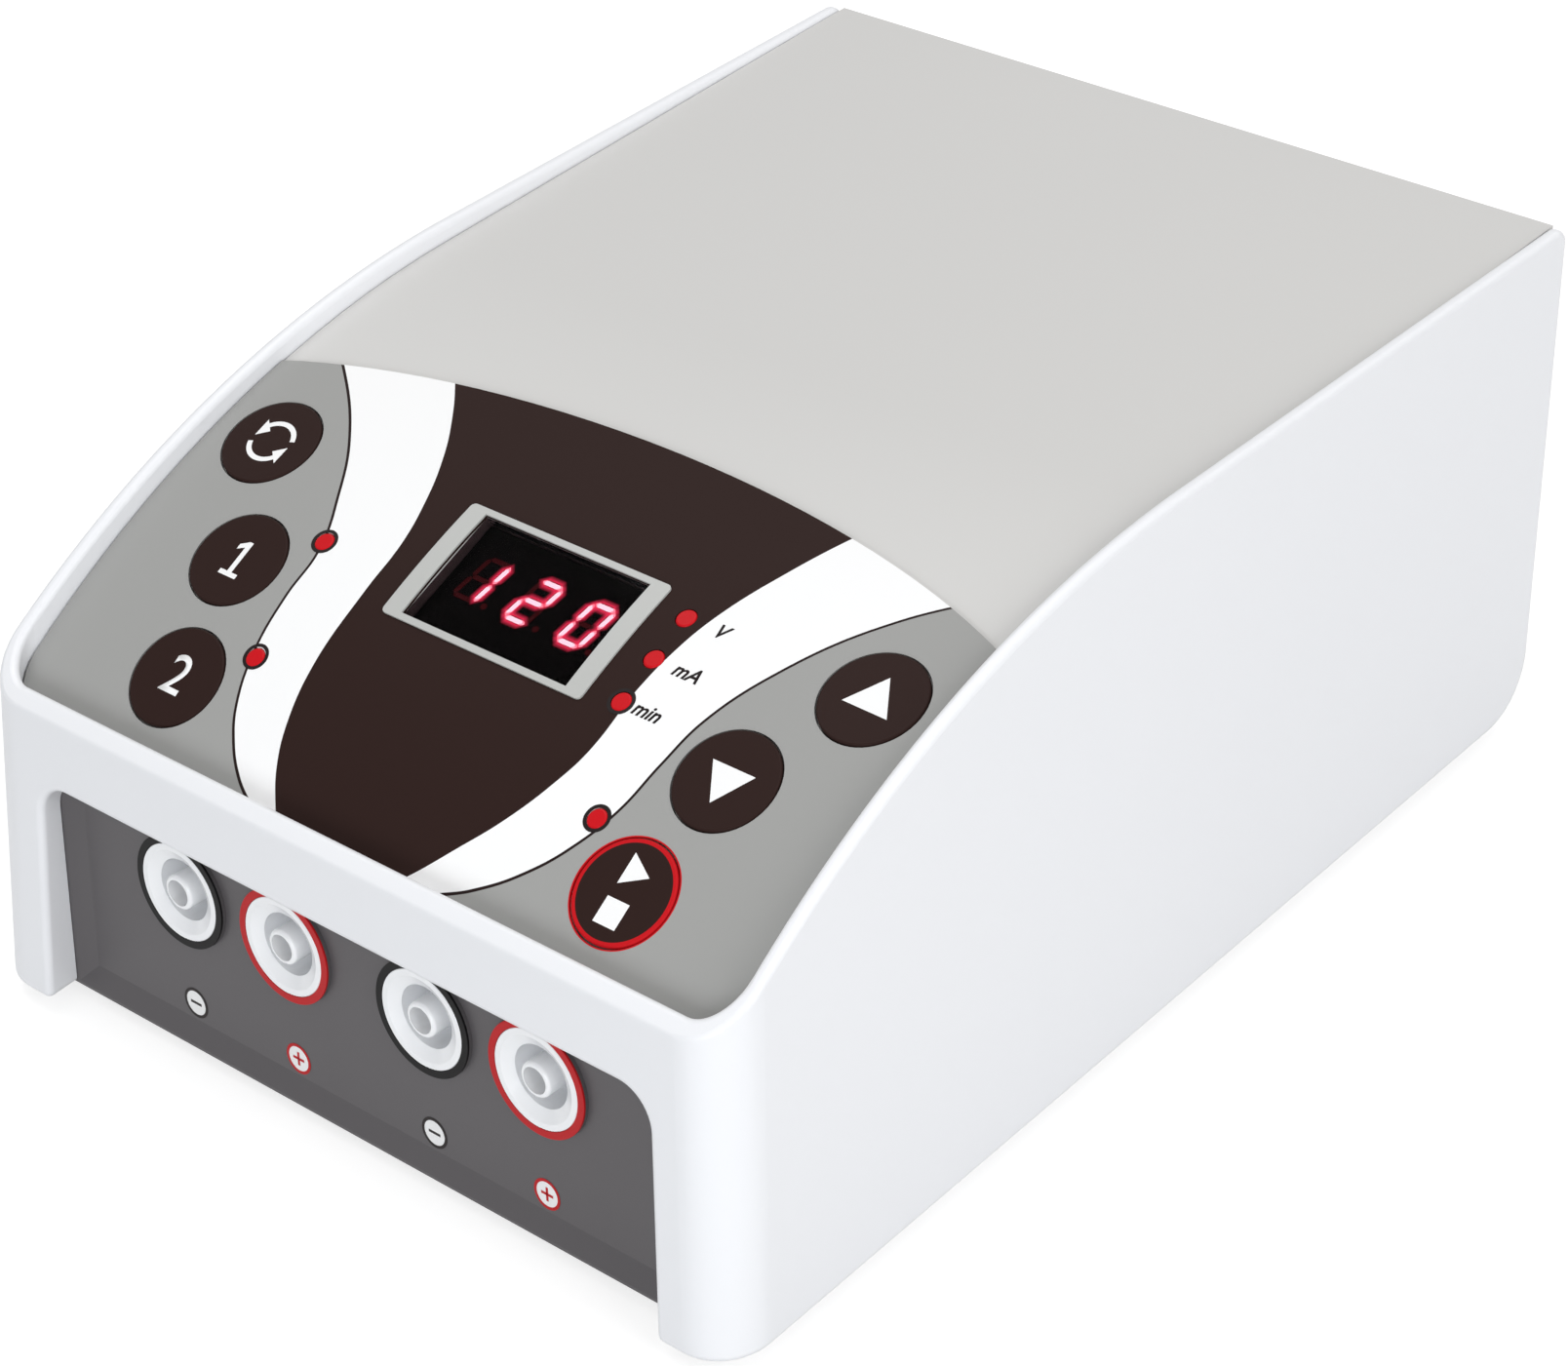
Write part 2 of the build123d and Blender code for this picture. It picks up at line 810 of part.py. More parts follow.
def base_tray():
    floor = level_space(skin_inset, base_top) & plan_space(shell_wall + base_gap)
    floor = floor & side_strip(-overall_depth, -overall_depth, base_rear_y)
    panel_room = Box(panel_width() + 2 * panel_gap, 2 * overall_depth, 4 * base_top)
    floor = floor - (panel_room - behind_panel(panel_gap))
    rib_width = opening_width - 2 * base_rib_inset
    rib = Box(rib_width, 2 * overall_depth, 2 * rib_top) & level_space(base_top - merge, rib_top)
    rib = (rib & behind_panel(panel_gap)) - behind_panel(panel_gap + base_rib_thickness)
    tray = floor + rib
    for index in range(base_vent_count):
        x = (index - (base_vent_count - 1) / 2) * base_vent_pitch
        vent = long_hole(base_vent_width, base_vent_length, 0, 2 * base_top)
        tray = tray - Pos(x, base_vent_y, 0) * vent
    for x, y in main_board_corners():
        stand = post(board_stand_diameter, base_top - merge, board_top - board_thickness)
        pilot = post(board_screw_diameter + 2 * thread_gap, base_top, board_top)
        tray = tray + Pos(x, y, 0) * stand - Pos(x, y, 0) * pilot
    for x, y in base_screw_places():
        hole = post(screw_diameter + 2 * hole_gap, 0, 2 * base_top)
        head_room = post(screw_head_diameter + 2 * hole_gap, 0, skin_inset + screw_head_height)
        tray = tray - Pos(x, y, 0) * (hole + head_room)
    return tray


def base_screw_places():
    return [(side * boss_x, y) for side in (-1, 1) for y in (boss_front_y, boss_rear_y)]


def base_screws():
    turned = Rot(180, 0, 0) * screw(screw_diameter, screw_length, screw_head_diameter, screw_head_height)
    return [Pos(x, y, skin_inset + screw_head_height) * turned for x, y in base_screw_places()]


def rear_screws():
    one = screw(screw_diameter, screw_length, screw_head_diameter, screw_head_height)
    return [rear_place(side * lug_x, height) * one for side in (-1, 1) for height in lug_heights]


def rubber_feet():
    foot = post(foot_diameter, -foot_height, skin_inset)
    foot = chamfer(foot.edges().group_by(Axis.Z)[0], foot_chamfer)
    return [Pos(side * foot_x, y, 0) * foot for side in (-1, 1) for y in (foot_front_y, foot_rear_y)]


# Front panel and output sockets


def panel_width():
    return opening_width + 2 * (shell_wall + panel_lip)


def tray_outline(inset):
    """Edge of the panel's shallow tray on the panel plane; it slopes on three sides."""
    low = inset
    top = opening_height / cosd(panel_lean_angle) - tray_margin
    half = opening_width / 2 - inset
    return Polyline(
        (half - low * tand(side_draft_angle), low),
        (half - top * tand(side_draft_angle), top),
        (-half + top * tand(side_draft_angle), top),
        (-half + low * tand(side_draft_angle), low),
        close=True,
    )


def socket_panel():
    top = opening_height + shell_wall + seat_gap
    plate = Box(panel_width(), 2 * overall_depth, 2 * top) & level_space(0, top)
    plate = (plate & behind_panel(-panel_thickness)) - behind_panel(0)
    rim = panel_plane() * make_face(tray_outline(tray_margin))
    floor = panel_plane(tray_depth) * make_face(tray_outline(tray_margin + tray_slope))
    panel = plate - loft([rim.face(), floor.face()], ruled=True)
    for x in socket_places:
        pad = post(ring_diameter, -merge, pad_height)
        hole = post(barrel_diameter + 2 * barrel_gap, -3 * panel_thickness, panel_thickness)
        panel = panel + socket_place(x) * pad - socket_place(x) * hole
    return panel


def socket_ring(x):
    """Flat coloured ring on the panel's pad."""
    ring = post(ring_diameter, pad_height, ring_thickness)
    ring = fillet(ring.edges().group_by(Axis.Z)[-1], ring_round)
    ring = ring - post(flange_diameter + 2 * ring_gap, -merge, ring_thickness + merge)
    return socket_place(x) * ring


def is_dish_edge(edge):
    """True for the edge where a socket's dish meets its face."""
    return abs(edge.radius - dish_diameter / 2) < touch and edge.center().Z > ring_thickness - touch


def socket_body(x):
    """Socket whose face lies level with its ring, dished round a shrouded tube."""
    face = ring_thickness
    flange = post(flange_diameter, pad_height, face)
    flange = fillet(flange.edges().group_by(Axis.Z)[-1], flange_round)
    body = flange + post(barrel_diameter, -barrel_length, (pad_height + face) / 2)
    dish = Pos(0, 0, face - dish_depth / 2) * Cone(groove_diameter / 2, dish_diameter / 2, dish_depth)
    body = body - dish
    body = fillet(body.edges().filter_by(GeomType.CIRCLE).filter_by(is_dish_edge), flange_round)
    body = body - post(groove_diameter, face - groove_depth, face)
    tube = post(tube_diameter, face - groove_depth - merge, tube_tip)
    tube = fillet(tube.edges().group_by(Axis.Z)[-1], tube_round)
    body = body + tube - post(bore_diameter, -barrel_length - merge, tube_tip + merge)
    body = body - post(sleeve_diameter + 2 * thread_gap, -barrel_length - merge, tube_tip - sleeve_depth)
    return socket_place(x) * body


def socket_contacts():
    sleeve = post(sleeve_diameter, -barrel_length, tube_tip - sleeve_depth - thread_gap)
    sleeve = sleeve + post(tail_diameter, -barrel_length - tail_length, -barrel_length + merge)
    sleeve = sleeve - post(bore_diameter, -barrel_length + sleeve_end, tube_tip)
    return [socket_place(x) * sleeve for x in socket_places]


def socket_nuts():
    back = tray_depth - panel_thickness - seat_gap
    outline = RegularPolygon(nut_width / 2, 6, major_radius=False)
    nut = extrude(Plane.XY.offset(back - nut_thickness) * outline, amount=nut_thickness)
    nut = nut - post(barrel_diameter + 2 * thread_gap, back - 2 * nut_thickness, back + merge)
    return [socket_place(x) * nut for x in socket_places]


def output_board():
    front = -barrel_length - output_board_gap
    above_floor = socket_height - base_top - output_board_floor_gap
    height = output_board_rise + above_floor / cosd(panel_lean_angle)
    board = slab(output_board_width, height, front - board_thickness, front, board_corner_radius)
    board = socket_place(0) * Pos(0, output_board_rise - height / 2, 0) * board
    for x in socket_places:
        board = board - socket_place(x) * post(tail_diameter + 2 * part_gap, -2 * barrel_length, 0)
    return board


# Film, keys, lights and display


def membrane_film():
    oval = Pos(0, film_crown_y - film_crown_rise) * Ellipse(film_crown_span, film_crown_rise)
    front = Pos(0, (film_crown_y - film_crown_rise) / 2)
    outline = oval + front * Rectangle(2 * film_crown_span, film_crown_y - film_crown_rise)
    film = band(film_recess, cover_top_drop, cover_front_y, cover_crest_y)
    film = film & extrude(outline, amount=2 * crest_height)
    film = film & plan_space(shell_wall + film_gap, front_lip)
    for x, y in key_places.values():
        film = film - film_plane(x, y).location * post(key_diameter + 2 * key_gap, -film_recess, film_recess)
    for x, y in led_places.values():
        film = film - film_plane(x, y).location * post(led_diameter + 2 * led_gap, -film_recess, film_recess)
    window = slab(window_width, window_height, -film_recess, film_recess)
    return film - film_plane(0, window_y).location * window


def above_control_board(height):
    return control_plane().location * slab(2 * shell_width, 2 * shell_width, height, crest_height)


def film_key(x, y):
    low = key_proud - key_thickness
    disc = post(key_diameter, low, key_proud)
    disc = fillet(disc.edges().group_by(Axis.Z)[-1], key_edge_round)
    stem = post(key_stem_diameter, -crest_height, low + merge)
    key = film_plane(x, y).location * (disc + stem)
    return key & above_control_board(switch_height + key_travel + key_rest_gap)


def key_switches():
    switches = []
    for x, y in key_places.values():
        body = slab(switch_width, switch_width, 0, switch_body_height, switch_round)
        body = body + post(switch_button_diameter, switch_body_height - merge, switch_height)
        switches.append(on_control_board(x, y, switch_height) * body)
    return switches


def indicator_light(x, y):
    flange_top = -film_thickness - cover_thickness - seat_gap
    light = post(led_diameter, flange_top - merge, led_proud)
    light = fillet(light.edges().group_by(Axis.Z)[-1], led_edge_round)
    light = light + post(led_flange_diameter, flange_top - led_flange_thickness, flange_top)
    for side in (-1, 1):
        lead = post(led_lead_diameter, -crest_height / 2, flange_top - led_flange_thickness + merge)
        light = light + Pos(side * led_lead_pitch / 2, 0, 0) * lead
    return (film_plane(x, y).location * light) & above_control_board(part_gap)


def display_frame():
    ring = slab(frame_width, frame_height, -film_recess, film_recess, frame_corner_radius)
    ring = ring - slab(window_width, window_height, -2 * film_recess, 2 * film_recess)
    sheet = band(film_recess - frame_thickness, film_recess, cover_front_y, cover_crest_y)
    return (film_plane(0, window_y).location * ring) & sheet


def display_filter():
    plate = slab(
        window_width - 2 * filter_gap,
        window_height - 2 * filter_gap,
        -filter_sink - filter_thickness,
        -filter_sink,
    )
    return film_plane(0, window_y).location * plate


def display_module():
    width = window_width - 2 * module_gap
    height = window_height - 2 * module_gap
    return film_plane(0, window_y).location * slab(width, height, module_face - module_depth, module_face)


def bar_outline(name):
    """One bar of a digit: pointed at both ends, slanted with the digit."""
    tip = digit_stroke / 2
    levels = {"a": 1, "g": 0, "d": -1}
    uprights = {"f": (-1, 1), "b": (1, 1), "e": (-1, -1), "c": (1, -1)}
    if name in levels:
        centre = (0, levels[name] * digit_rise / 2)
        reach = digit_span / 2 - bar_gap
        points = [(-reach, 0), (tip - reach, tip), (reach - tip, tip)]
        points += [(reach, 0), (reach - tip, -tip), (tip - reach, -tip)]
    else:
        side, level = uprights[name]
        centre = (side * digit_span / 2, level * digit_rise / 4)
        reach = digit_rise / 4 - bar_gap
        points = [(0, -reach), (tip, tip - reach), (tip, reach - tip)]
        points += [(0, reach), (-tip, reach - tip), (-tip, tip - reach)]
    slanted = []
    for x, y in points:
        up = centre[1] + y
        slanted.append((centre[0] + x + up * tand(digit_slant_angle), up))
    return make_face(Polyline(*slanted, close=True))


def display_bars(lit):
    """Bars of the three digits, either the lit ones or the dark ones with the points."""
    place = film_plane(0, window_y, module_face).location
    bars = []
    for index, digit in enumerate(shown_digits):
        x = (index - (len(shown_digits) - 1) / 2) * digit_pitch
        for name in "abcdefg":
            if (name in bars_of_digit[digit]) == lit:
                bar = extrude(bar_outline(name), amount=bar_relief)
                bars.append(place * Pos(x, digit_shift, 0) * bar)
        if not lit:
            dot_x = x + digit_pitch / 2 - dot_diameter - digit_rise / 2 * tand(digit_slant_angle)
            dot = Pos(dot_x, digit_shift - digit_rise / 2, 0) * post(dot_diameter, 0, bar_relief)
            bars.append(place * dot)
    return bars


def control_board():
    board = Pos(0, control_board_shift, 0) * slab(
        control_board_width, control_board_length, -board_thickness, 0, board_corner_radius
    )
    for x, y in board_post_places:
        hole = post(board_screw_diameter + 2 * hole_gap, -2 * board_thickness, board_thickness)
        board = board - Pos(x, y, 0) * hole
    return control_plane().location * board


def board_screw():
    return screw(
        board_screw_diameter, board_screw_length, board_screw_head_diameter, board_screw_head_height
    )


def control_board_screws():
    one = board_screw()
    turned = Pos(0, 0, -board_thickness) * Rot(180, 0, 0) * one
    return [control_plane().location * Pos(x, y, 0) * turned for x, y in board_post_places]


# Mains inlet and fuse drawer


def drawer_room(gap, low, high):
    """Space that the fuse drawer fills in the inlet, with a gap."""
    return Pos(0, -drawer_drop, 0) * slab(drawer_width + 2 * gap, drawer_height + 2 * gap, low, high)


def pin_places():
    return [(-pin_spread, -pin_offset), (pin_spread, -pin_offset), (0, pin_offset)]


def mains_inlet():
    flange = slab(inlet_flange_width, inlet_flange_height, 0, inlet_flange_thickness, inlet_flange_radius)
    flange = fillet(flange.edges().group_by(Axis.Z)[-1], inlet_flange_thickness / 4)
    body = slab(inlet_body_width, inlet_body_height, -inlet_body_depth, merge)
    inlet = flange + body
    outline = Rectangle(cavity_width, cavity_height)
    outline = chamfer(outline.vertices().group_by(Axis.Y)[-1], cavity_chamfer)
    floor = Plane.XY.offset(inlet_flange_thickness - cavity_depth)
    cavity = extrude(floor * outline, amount=2 * cavity_depth)
    inlet = inlet - Pos(0, cavity_rise, 0) * cavity
    for x, y in pin_places():
        hole = slab(pin_width + 2 * thread_gap, pin_height + 2 * thread_gap, -2 * inlet_body_depth, 0)
        inlet = inlet - Pos(x, cavity_rise + y, 0) * hole
    room_low = inlet_flange_thickness - drawer_depth - drawer_gap
    inlet = inlet - drawer_room(drawer_gap, room_low, 2 * inlet_flange_thickness)
    return rear_place(inlet_x, rear_row_height) * inlet


def inlet_pins():
    floor = inlet_flange_thickness - cavity_depth
    pins = []
    for x, y in pin_places():
        pin = slab(pin_width, pin_height, -inlet_body_depth, floor + pin_reach)
        pin = chamfer(pin.edges().group_by(Axis.Z)[-1], pin_point)
        blade = slab(blade_thickness, pin_height, -inlet_body_depth - blade_length, merge - inlet_body_depth)
        pins.append(rear_place(inlet_x, rear_row_height) * Pos(x, cavity_rise + y, 0) * (pin + blade))
    return pins


def fuse_drawer():
    face_low = inlet_flange_thickness + seat_gap
    face = slab(
        drawer_width + 2 * drawer_face_margin,
        drawer_height + 2 * drawer_face_margin,
        face_low,
        face_low + drawer_face_thickness,
        drawer_face_margin,
    )
    face = fillet(face.edges().group_by(Axis.Z)[-1], drawer_face_thickness / 4)
    grip_top = face_low + drawer_face_thickness
    face = face - slab(grip_width, grip_height, grip_top - grip_depth, grip_top + merge)
    tray = slab(drawer_width, drawer_height, inlet_flange_thickness - drawer_depth, face_low + merge)
    room = fuse_diameter + 2 * fuse_gap
    pocket_height = drawer_height / 2 + room / 2
    pocket_middle = (drawer_height / 2 - room / 2) / 2 + merge
    low, high = -fuse_depth - room / 2, -fuse_depth + room / 2
    pocket = slab(fuse_length + 2 * fuse_gap, pocket_height + 2 * merge, low, high)
    pocket = Pos(0, pocket_middle, 0) * pocket
    drawer = Pos(0, -drawer_drop, 0) * (face + tray - pocket)
    return rear_place(inlet_x, rear_row_height) * drawer


def fuse_place():
    """Middle of the fuse; its Z runs along the fuse."""
    return rear_place(inlet_x, rear_row_height) * Pos(0, -drawer_drop, -fuse_depth) * Rot(0, 90, 0)


def fuse_glass():
    glass_diameter = fuse_diameter - 2 * fuse_cap_wall - 2 * thread_gap
    half = fuse_length / 2 - fuse_cap_wall - thread_gap
    return fuse_place() * post(glass_diameter, -half, half)


def fuse_caps():
    caps = []
    for side in (-1, 1):
        end = side * fuse_length / 2
        mouth = side * (fuse_length / 2 - fuse_cap_length)
        floor = side * (fuse_length / 2 - fuse_cap_wall)
        cap = post(fuse_diameter, min(end, mouth), max(end, mouth))
        past = mouth - side * merge
        hollow = post(fuse_diameter - 2 * fuse_cap_wall, min(floor, past), max(floor, past))
        caps.append(fuse_place() * (cap - hollow))
    return caps


# Rocker switch


def switch_housing():
    frame = slab(
        rocker_frame_width, rocker_frame_height, 0, rocker_frame_thickness, rocker_frame_radius
    )
    frame = fillet(frame.edges().group_by(Axis.Z)[-1], rocker_frame_thickness / 4)
    body = slab(rocker_body_width, rocker_body_height, -rocker_body_depth, merge)
    well_length = rocker_length + 2 * rocker_end_gap
    well = slab(rocker_width + 2 * rocker_gap, well_length, -rocker_well_depth, rocker_body_depth)
    reach = rocker_width + 2 * (pivot_length + pivot_gap)
    axle = post(2 * (pivot_radius + pivot_gap), -reach / 2, reach / 2)
    housing = frame + body - well - Pos(0, 0, -pivot_depth) * Rot(0, 90, 0) * axle
    for side in (-1, 1):
        bite = slab(
            terminal_width + 2 * thread_gap,
            blade_thickness + 2 * thread_gap,
            -2 * rocker_body_depth,
            terminal_bite - rocker_body_depth,
        )
        housing = housing - Pos(0, side * terminal_spread, 0) * bite
    return rear_place(rocker_x, rear_row_height) * housing


def switch_terminals():
    blades = []
    for side in (-1, 1):
        low = -rocker_body_depth - blade_length
        blade = slab(terminal_width, blade_thickness, low, terminal_bite - rocker_body_depth - thread_gap)
        blades.append(rear_place(rocker_x, rear_row_height) * Pos(0, side * terminal_spread, 0) * blade)
    return blades


def switch_rocker():
    """Rocker with its lower half pressed in; the upper half stands out."""
    half = rocker_length / 2
    outline = make_face(
        Curve()
        + [
            ThreePointArc((-half, rocker_crest), (0, rocker_valley), (half, rocker_crest)),
            Line((half, rocker_crest), (half, -rocker_skirt)),
            Line((half, -rocker_skirt), (rocker_heel_width, -rocker_heel_depth)),
            Line((rocker_heel_width, -rocker_heel_depth), (-rocker_heel_width, -rocker_heel_depth)),
            Line((-rocker_heel_width, -rocker_heel_depth), (-half, -rocker_skirt)),
            Line((-half, -rocker_skirt), (-half, rocker_crest)),
        ]
    )
    rocker = extrude(Plane.YZ * outline, amount=rocker_width / 2, both=True)
    crests = rocker.edges().filter_by(lambda edge: edge.center().Z > rocker_valley)
    rocker = fillet(crests, rocker_round)
    reach = rocker_width + 2 * pivot_length
    rocker = rocker + Pos(0, 0, -pivot_depth) * Rot(0, 90, 0) * post(2 * pivot_radius, -reach / 2, reach / 2)
    pivot = Pos(0, 0, -pivot_depth)
    return rear_place(rocker_x, rear_row_height) * pivot * Rot(rocker_tilt, 0, 0) * pivot.inverse() * rocker


# Main board and what stands on it


def main_board_corners():
    x = main_board_width / 2 - board_corner_inset
    front = main_board_front_y + board_corner_inset
    rear = main_board_rear_y - board_corner_inset
    return [(-x, front), (x, front), (-x, rear), (x, rear)]


def main_board():
    length = main_board_rear_y - main_board_front_y
    middle = (main_board_rear_y + main_board_front_y) / 2
    low = board_top - board_thickness
    board = Pos(0, middle, 0) * slab(main_board_width, length, low, board_top, board_corner_radius)
    for x, y in main_board_corners():
        board = board - Pos(x, y, 0) * post(board_screw_diameter + 2 * hole_gap, 0, 2 * board_top)
    return board


def main_board_screws():
    one = board_screw()
    return [Pos(x, y, board_top) * one for x, y in main_board_corners()]


def transformer_core():
    core = slab(core_width, core_stack, 0, core_height)
    window_side = core_width / 2 - core_yoke - core_leg / 2
    window_middle = core_leg / 2 + window_side / 2
    for side in (-1, 1):
        window = slab(window_side, 2 * core_stack, core_yoke, core_height - core_yoke)
        core = core - Pos(side * window_middle, 0, 0) * window
    return Pos(core_place[0], core_place[1], board_top + part_gap) * core


def transformer_winding():
    thickness = core_width / 2 - core_yoke - core_leg / 2 - 2 * winding_gap
    low = core_yoke + winding_gap
    high = core_height - core_yoke - winding_gap
    inner_x = core_leg + 2 * winding_gap
    inner_y = core_stack + 2 * winding_gap
    coil = slab(inner_x + 2 * thickness, inner_y + 2 * thickness, low, high, winding_round)
    coil = coil - slab(inner_x, inner_y, 0, core_height)
    return Pos(core_place[0], core_place[1], board_top + part_gap) * coil


def bulk_capacitors():
    can = post(capacitor_diameter, 0, capacitor_height)
    can = fillet(can.edges().group_by(Axis.Z)[-1], capacitor_round)
    groove = Pos(0, 0, capacitor_groove_height) * Torus(capacitor_diameter / 2, capacitor_groove)
    can = can - groove
    return [Pos(x, y, board_top + part_gap) * can for x, y in capacitor_places]


def heat_sink():
    sink = Pos(-(sink_width - sink_plate) / 2, 0, 0) * slab(sink_plate, sink_length, 0, sink_height)
    pitch = (sink_length - sink_fin) / (sink_fin_count - 1)
    for index in range(sink_fin_count):
        y = (index - (sink_fin_count - 1) / 2) * pitch
        sink = sink + Pos(0, y, 0) * slab(sink_width, sink_fin, 0, sink_height)
    return Pos(sink_place[0], sink_place[1], board_top + part_gap) * sink


def power_transistors():
    side = sink_place[0] - sink_width / 2 - transistor_thickness / 2 - part_gap
    body = slab(
        transistor_thickness, transistor_width, transistor_lift, transistor_lift + transistor_height
    )
    for step in (-1, 0, 1):
        lead = slab(transistor_lead, transistor_lead, 0, transistor_lift + merge)
        body = body + Pos(0, step * transistor_lead_pitch, 0) * lead
    places = [sink_place[1] - transistor_pitch / 2, sink_place[1] + transistor_pitch / 2]
    return [Pos(side, y, board_top + part_gap) * body for y in places]


def output_relays():
    relay = slab(relay_width, relay_length, 0, relay_height, relay_round)
    relay = fillet(relay.edges().group_by(Axis.Z)[-1], relay_round / 2)
    return [Pos(x, y, board_top + part_gap) * relay for x, y in relay_places]


def filter_choke():
    ring = post(choke_diameter, 0, choke_height) - post(choke_bore, -merge, choke_height + merge)
    rims = ring.edges().filter_by(GeomType.CIRCLE)
    ring = fillet(rims, choke_round)
    return Pos(choke_place[0], choke_place[1], board_top + part_gap) * ring


def header_end():
    """Middle of the lower face of the header under the control board."""
    return control_plane().from_local_coords((0, header_shift, -board_thickness - part_gap - header_height))


def ribbon_turn():
    """Point where the ribbon turns from the control board's normal to the vertical."""
    return header_end() - control_plane().z_dir * ribbon_drop


def cable_headers():
    header = slab(header_width, header_length, 0, header_height)
    upper = Pos(0, header_shift, -board_thickness - part_gap - header_height) * header
    lower = Pos(0, ribbon_turn().Y, board_top + part_gap) * header
    return [control_plane().location * upper, lower]


def ribbon_cable():
    start = header_end() - control_plane().z_dir * part_gap
    turn = ribbon_turn()
    end_z = board_top + header_height + 2 * part_gap
    line = FilletPolyline((start.Y, start.Z), (turn.Y, turn.Z), (turn.Y, end_z), radius=ribbon_bend)
    return extrude_across(trace(line, ribbon_thickness), ribbon_width / 2)


def lead_along(points):
    """Round lead along straight runs joined by arcs."""
    route = FilletPolyline(*points, radius=lead_bend)
    section = Plane(origin=route @ 0, z_dir=route % 0) * Circle(lead_diameter / 2)
    return sweep(section, path=route)


def lead_foot(x):
    """Last two points of a lead that comes down on the main board."""
    low = board_top + part_gap
    return (x, lead_end_y, low + lead_drop), (x, lead_end_y, low)


def mains_leads():
    inlet = rear_place(inlet_x, rear_row_height)
    behind = -inlet_body_depth - blade_length - part_gap
    leads = []
    for x, y in pin_places()[1:]:
        start = (inlet * Pos(x, cavity_rise + y, behind)).position
        bend = (inlet * Pos(x, cavity_rise + y, behind - 2 * lead_bend)).position
        leads.append(lead_along([start, bend, *lead_foot(start.X)]))
    switch = rear_place(rocker_x, rear_row_height)
    tail = -rocker_body_depth - blade_length - part_gap
    start = (switch * Pos(0, -terminal_spread, tail)).position
    bend = (switch * Pos(0, -terminal_spread, tail - 2 * lead_bend)).position
    leads.append(lead_along([start, bend, *lead_foot(start.X)]))
    x, y = pin_places()[0]
    start = (inlet * Pos(x, cavity_rise + y, behind)).position
    first = (inlet * Pos(x, cavity_rise + y, behind - 2 * lead_bend)).position
    end = (switch * Pos(0, terminal_spread, tail)).position
    last = (switch * Pos(0, terminal_spread, tail - 3 * lead_bend)).position
    middle = ((first.X + last.X) / 2, (first.Y + last.Y) / 2 - lead_bend, (first.Z + last.Z) / 2)
    leads.append(lead_along([start, first, middle, last, end]))
    return leads


# Export, in the part's own frame: origin under the middle, on the surface it stands on


def save(name, piece):
    solids = piece if isinstance(piece, list) else [piece]
    placed = [Pos(0, -overall_depth / 2, foot_height) * solid for solid in solids]
    shape = placed[0] if len(placed) == 1 else Compound(children=placed)
    export_step(shape, f"parts/{name}.step")


os.makedirs("parts", exist_ok=True)
save("outer_shell", outer_shell())
save("top_cover", top_cover())
save("rear_panel", rear_panel())
save("base_tray", base_tray())
save("base_screws", base_screws())
save("rear_screws", rear_screws())
save("rubber_feet", rubber_feet())
save("socket_panel", socket_panel())
for number, socket_x in enumerate(socket_places, 1):
    save(f"socket_ring_{number}", socket_ring(socket_x))
    save(f"socket_body_{number}", socket_body(socket_x))
save("socket_contacts", socket_contacts())
save("socket_nuts", socket_nuts())
save("output_board", output_board())
save("membrane_film", membrane_film())
for key_name, (key_x, key_y) in key_places.items():
    save(key_name, film_key(key_x, key_y))
save("key_switches", key_switches())
for led_name, (led_x, led_y) in led_places.items():
    save(led_name, indicator_light(led_x, led_y))
save("display_frame", display_frame())
save("display_filter", display_filter())
save("display_module", display_module())
save("digit_bars_lit", display_bars(True))
save("digit_bars_dark", display_bars(False))
save("control_board", control_board())
save("control_board_screws", control_board_screws())
save("mains_inlet", mains_inlet())
save("inlet_pins", inlet_pins())
save("fuse_drawer", fuse_drawer())
save("fuse_glass", fuse_glass())
save("fuse_caps", fuse_caps())
save("switch_housing", switch_housing())
save("switch_rocker", switch_rocker())
save("switch_terminals", switch_terminals())
save("main_board", main_board())
save("main_board_screws", main_board_screws())
save("transformer_core", transformer_core())
save("transformer_winding", transformer_winding())
save("bulk_capacitors", bulk_capacitors())
save("heat_sink", heat_sink())
save("power_transistors", power_transistors())
save("output_relays", output_relays())
save("filter_choke", filter_choke())
save("cable_headers", cable_headers())
save("ribbon_cable", ribbon_cable())
save("mains_leads", mains_leads())
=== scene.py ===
# %% [markdown]
# # An electrophoresis power supply on a white table
# The supply is a small white housing with an arched lid, a printed keypad with a red
# display, and four sheathed output sockets in a dark recess. Its pieces come from a packed
# CAD model, so nothing here moves or resizes them. This lesson gives each piece its finish,
# adds the prints and the glow that a CAD model leaves out, and lights the whole.
#
# Everything is in metres, in the model's own frame: X across, Y to the rear, Z up.

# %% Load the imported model
import json
import math

import bpy
from mathutils import Matrix, Vector


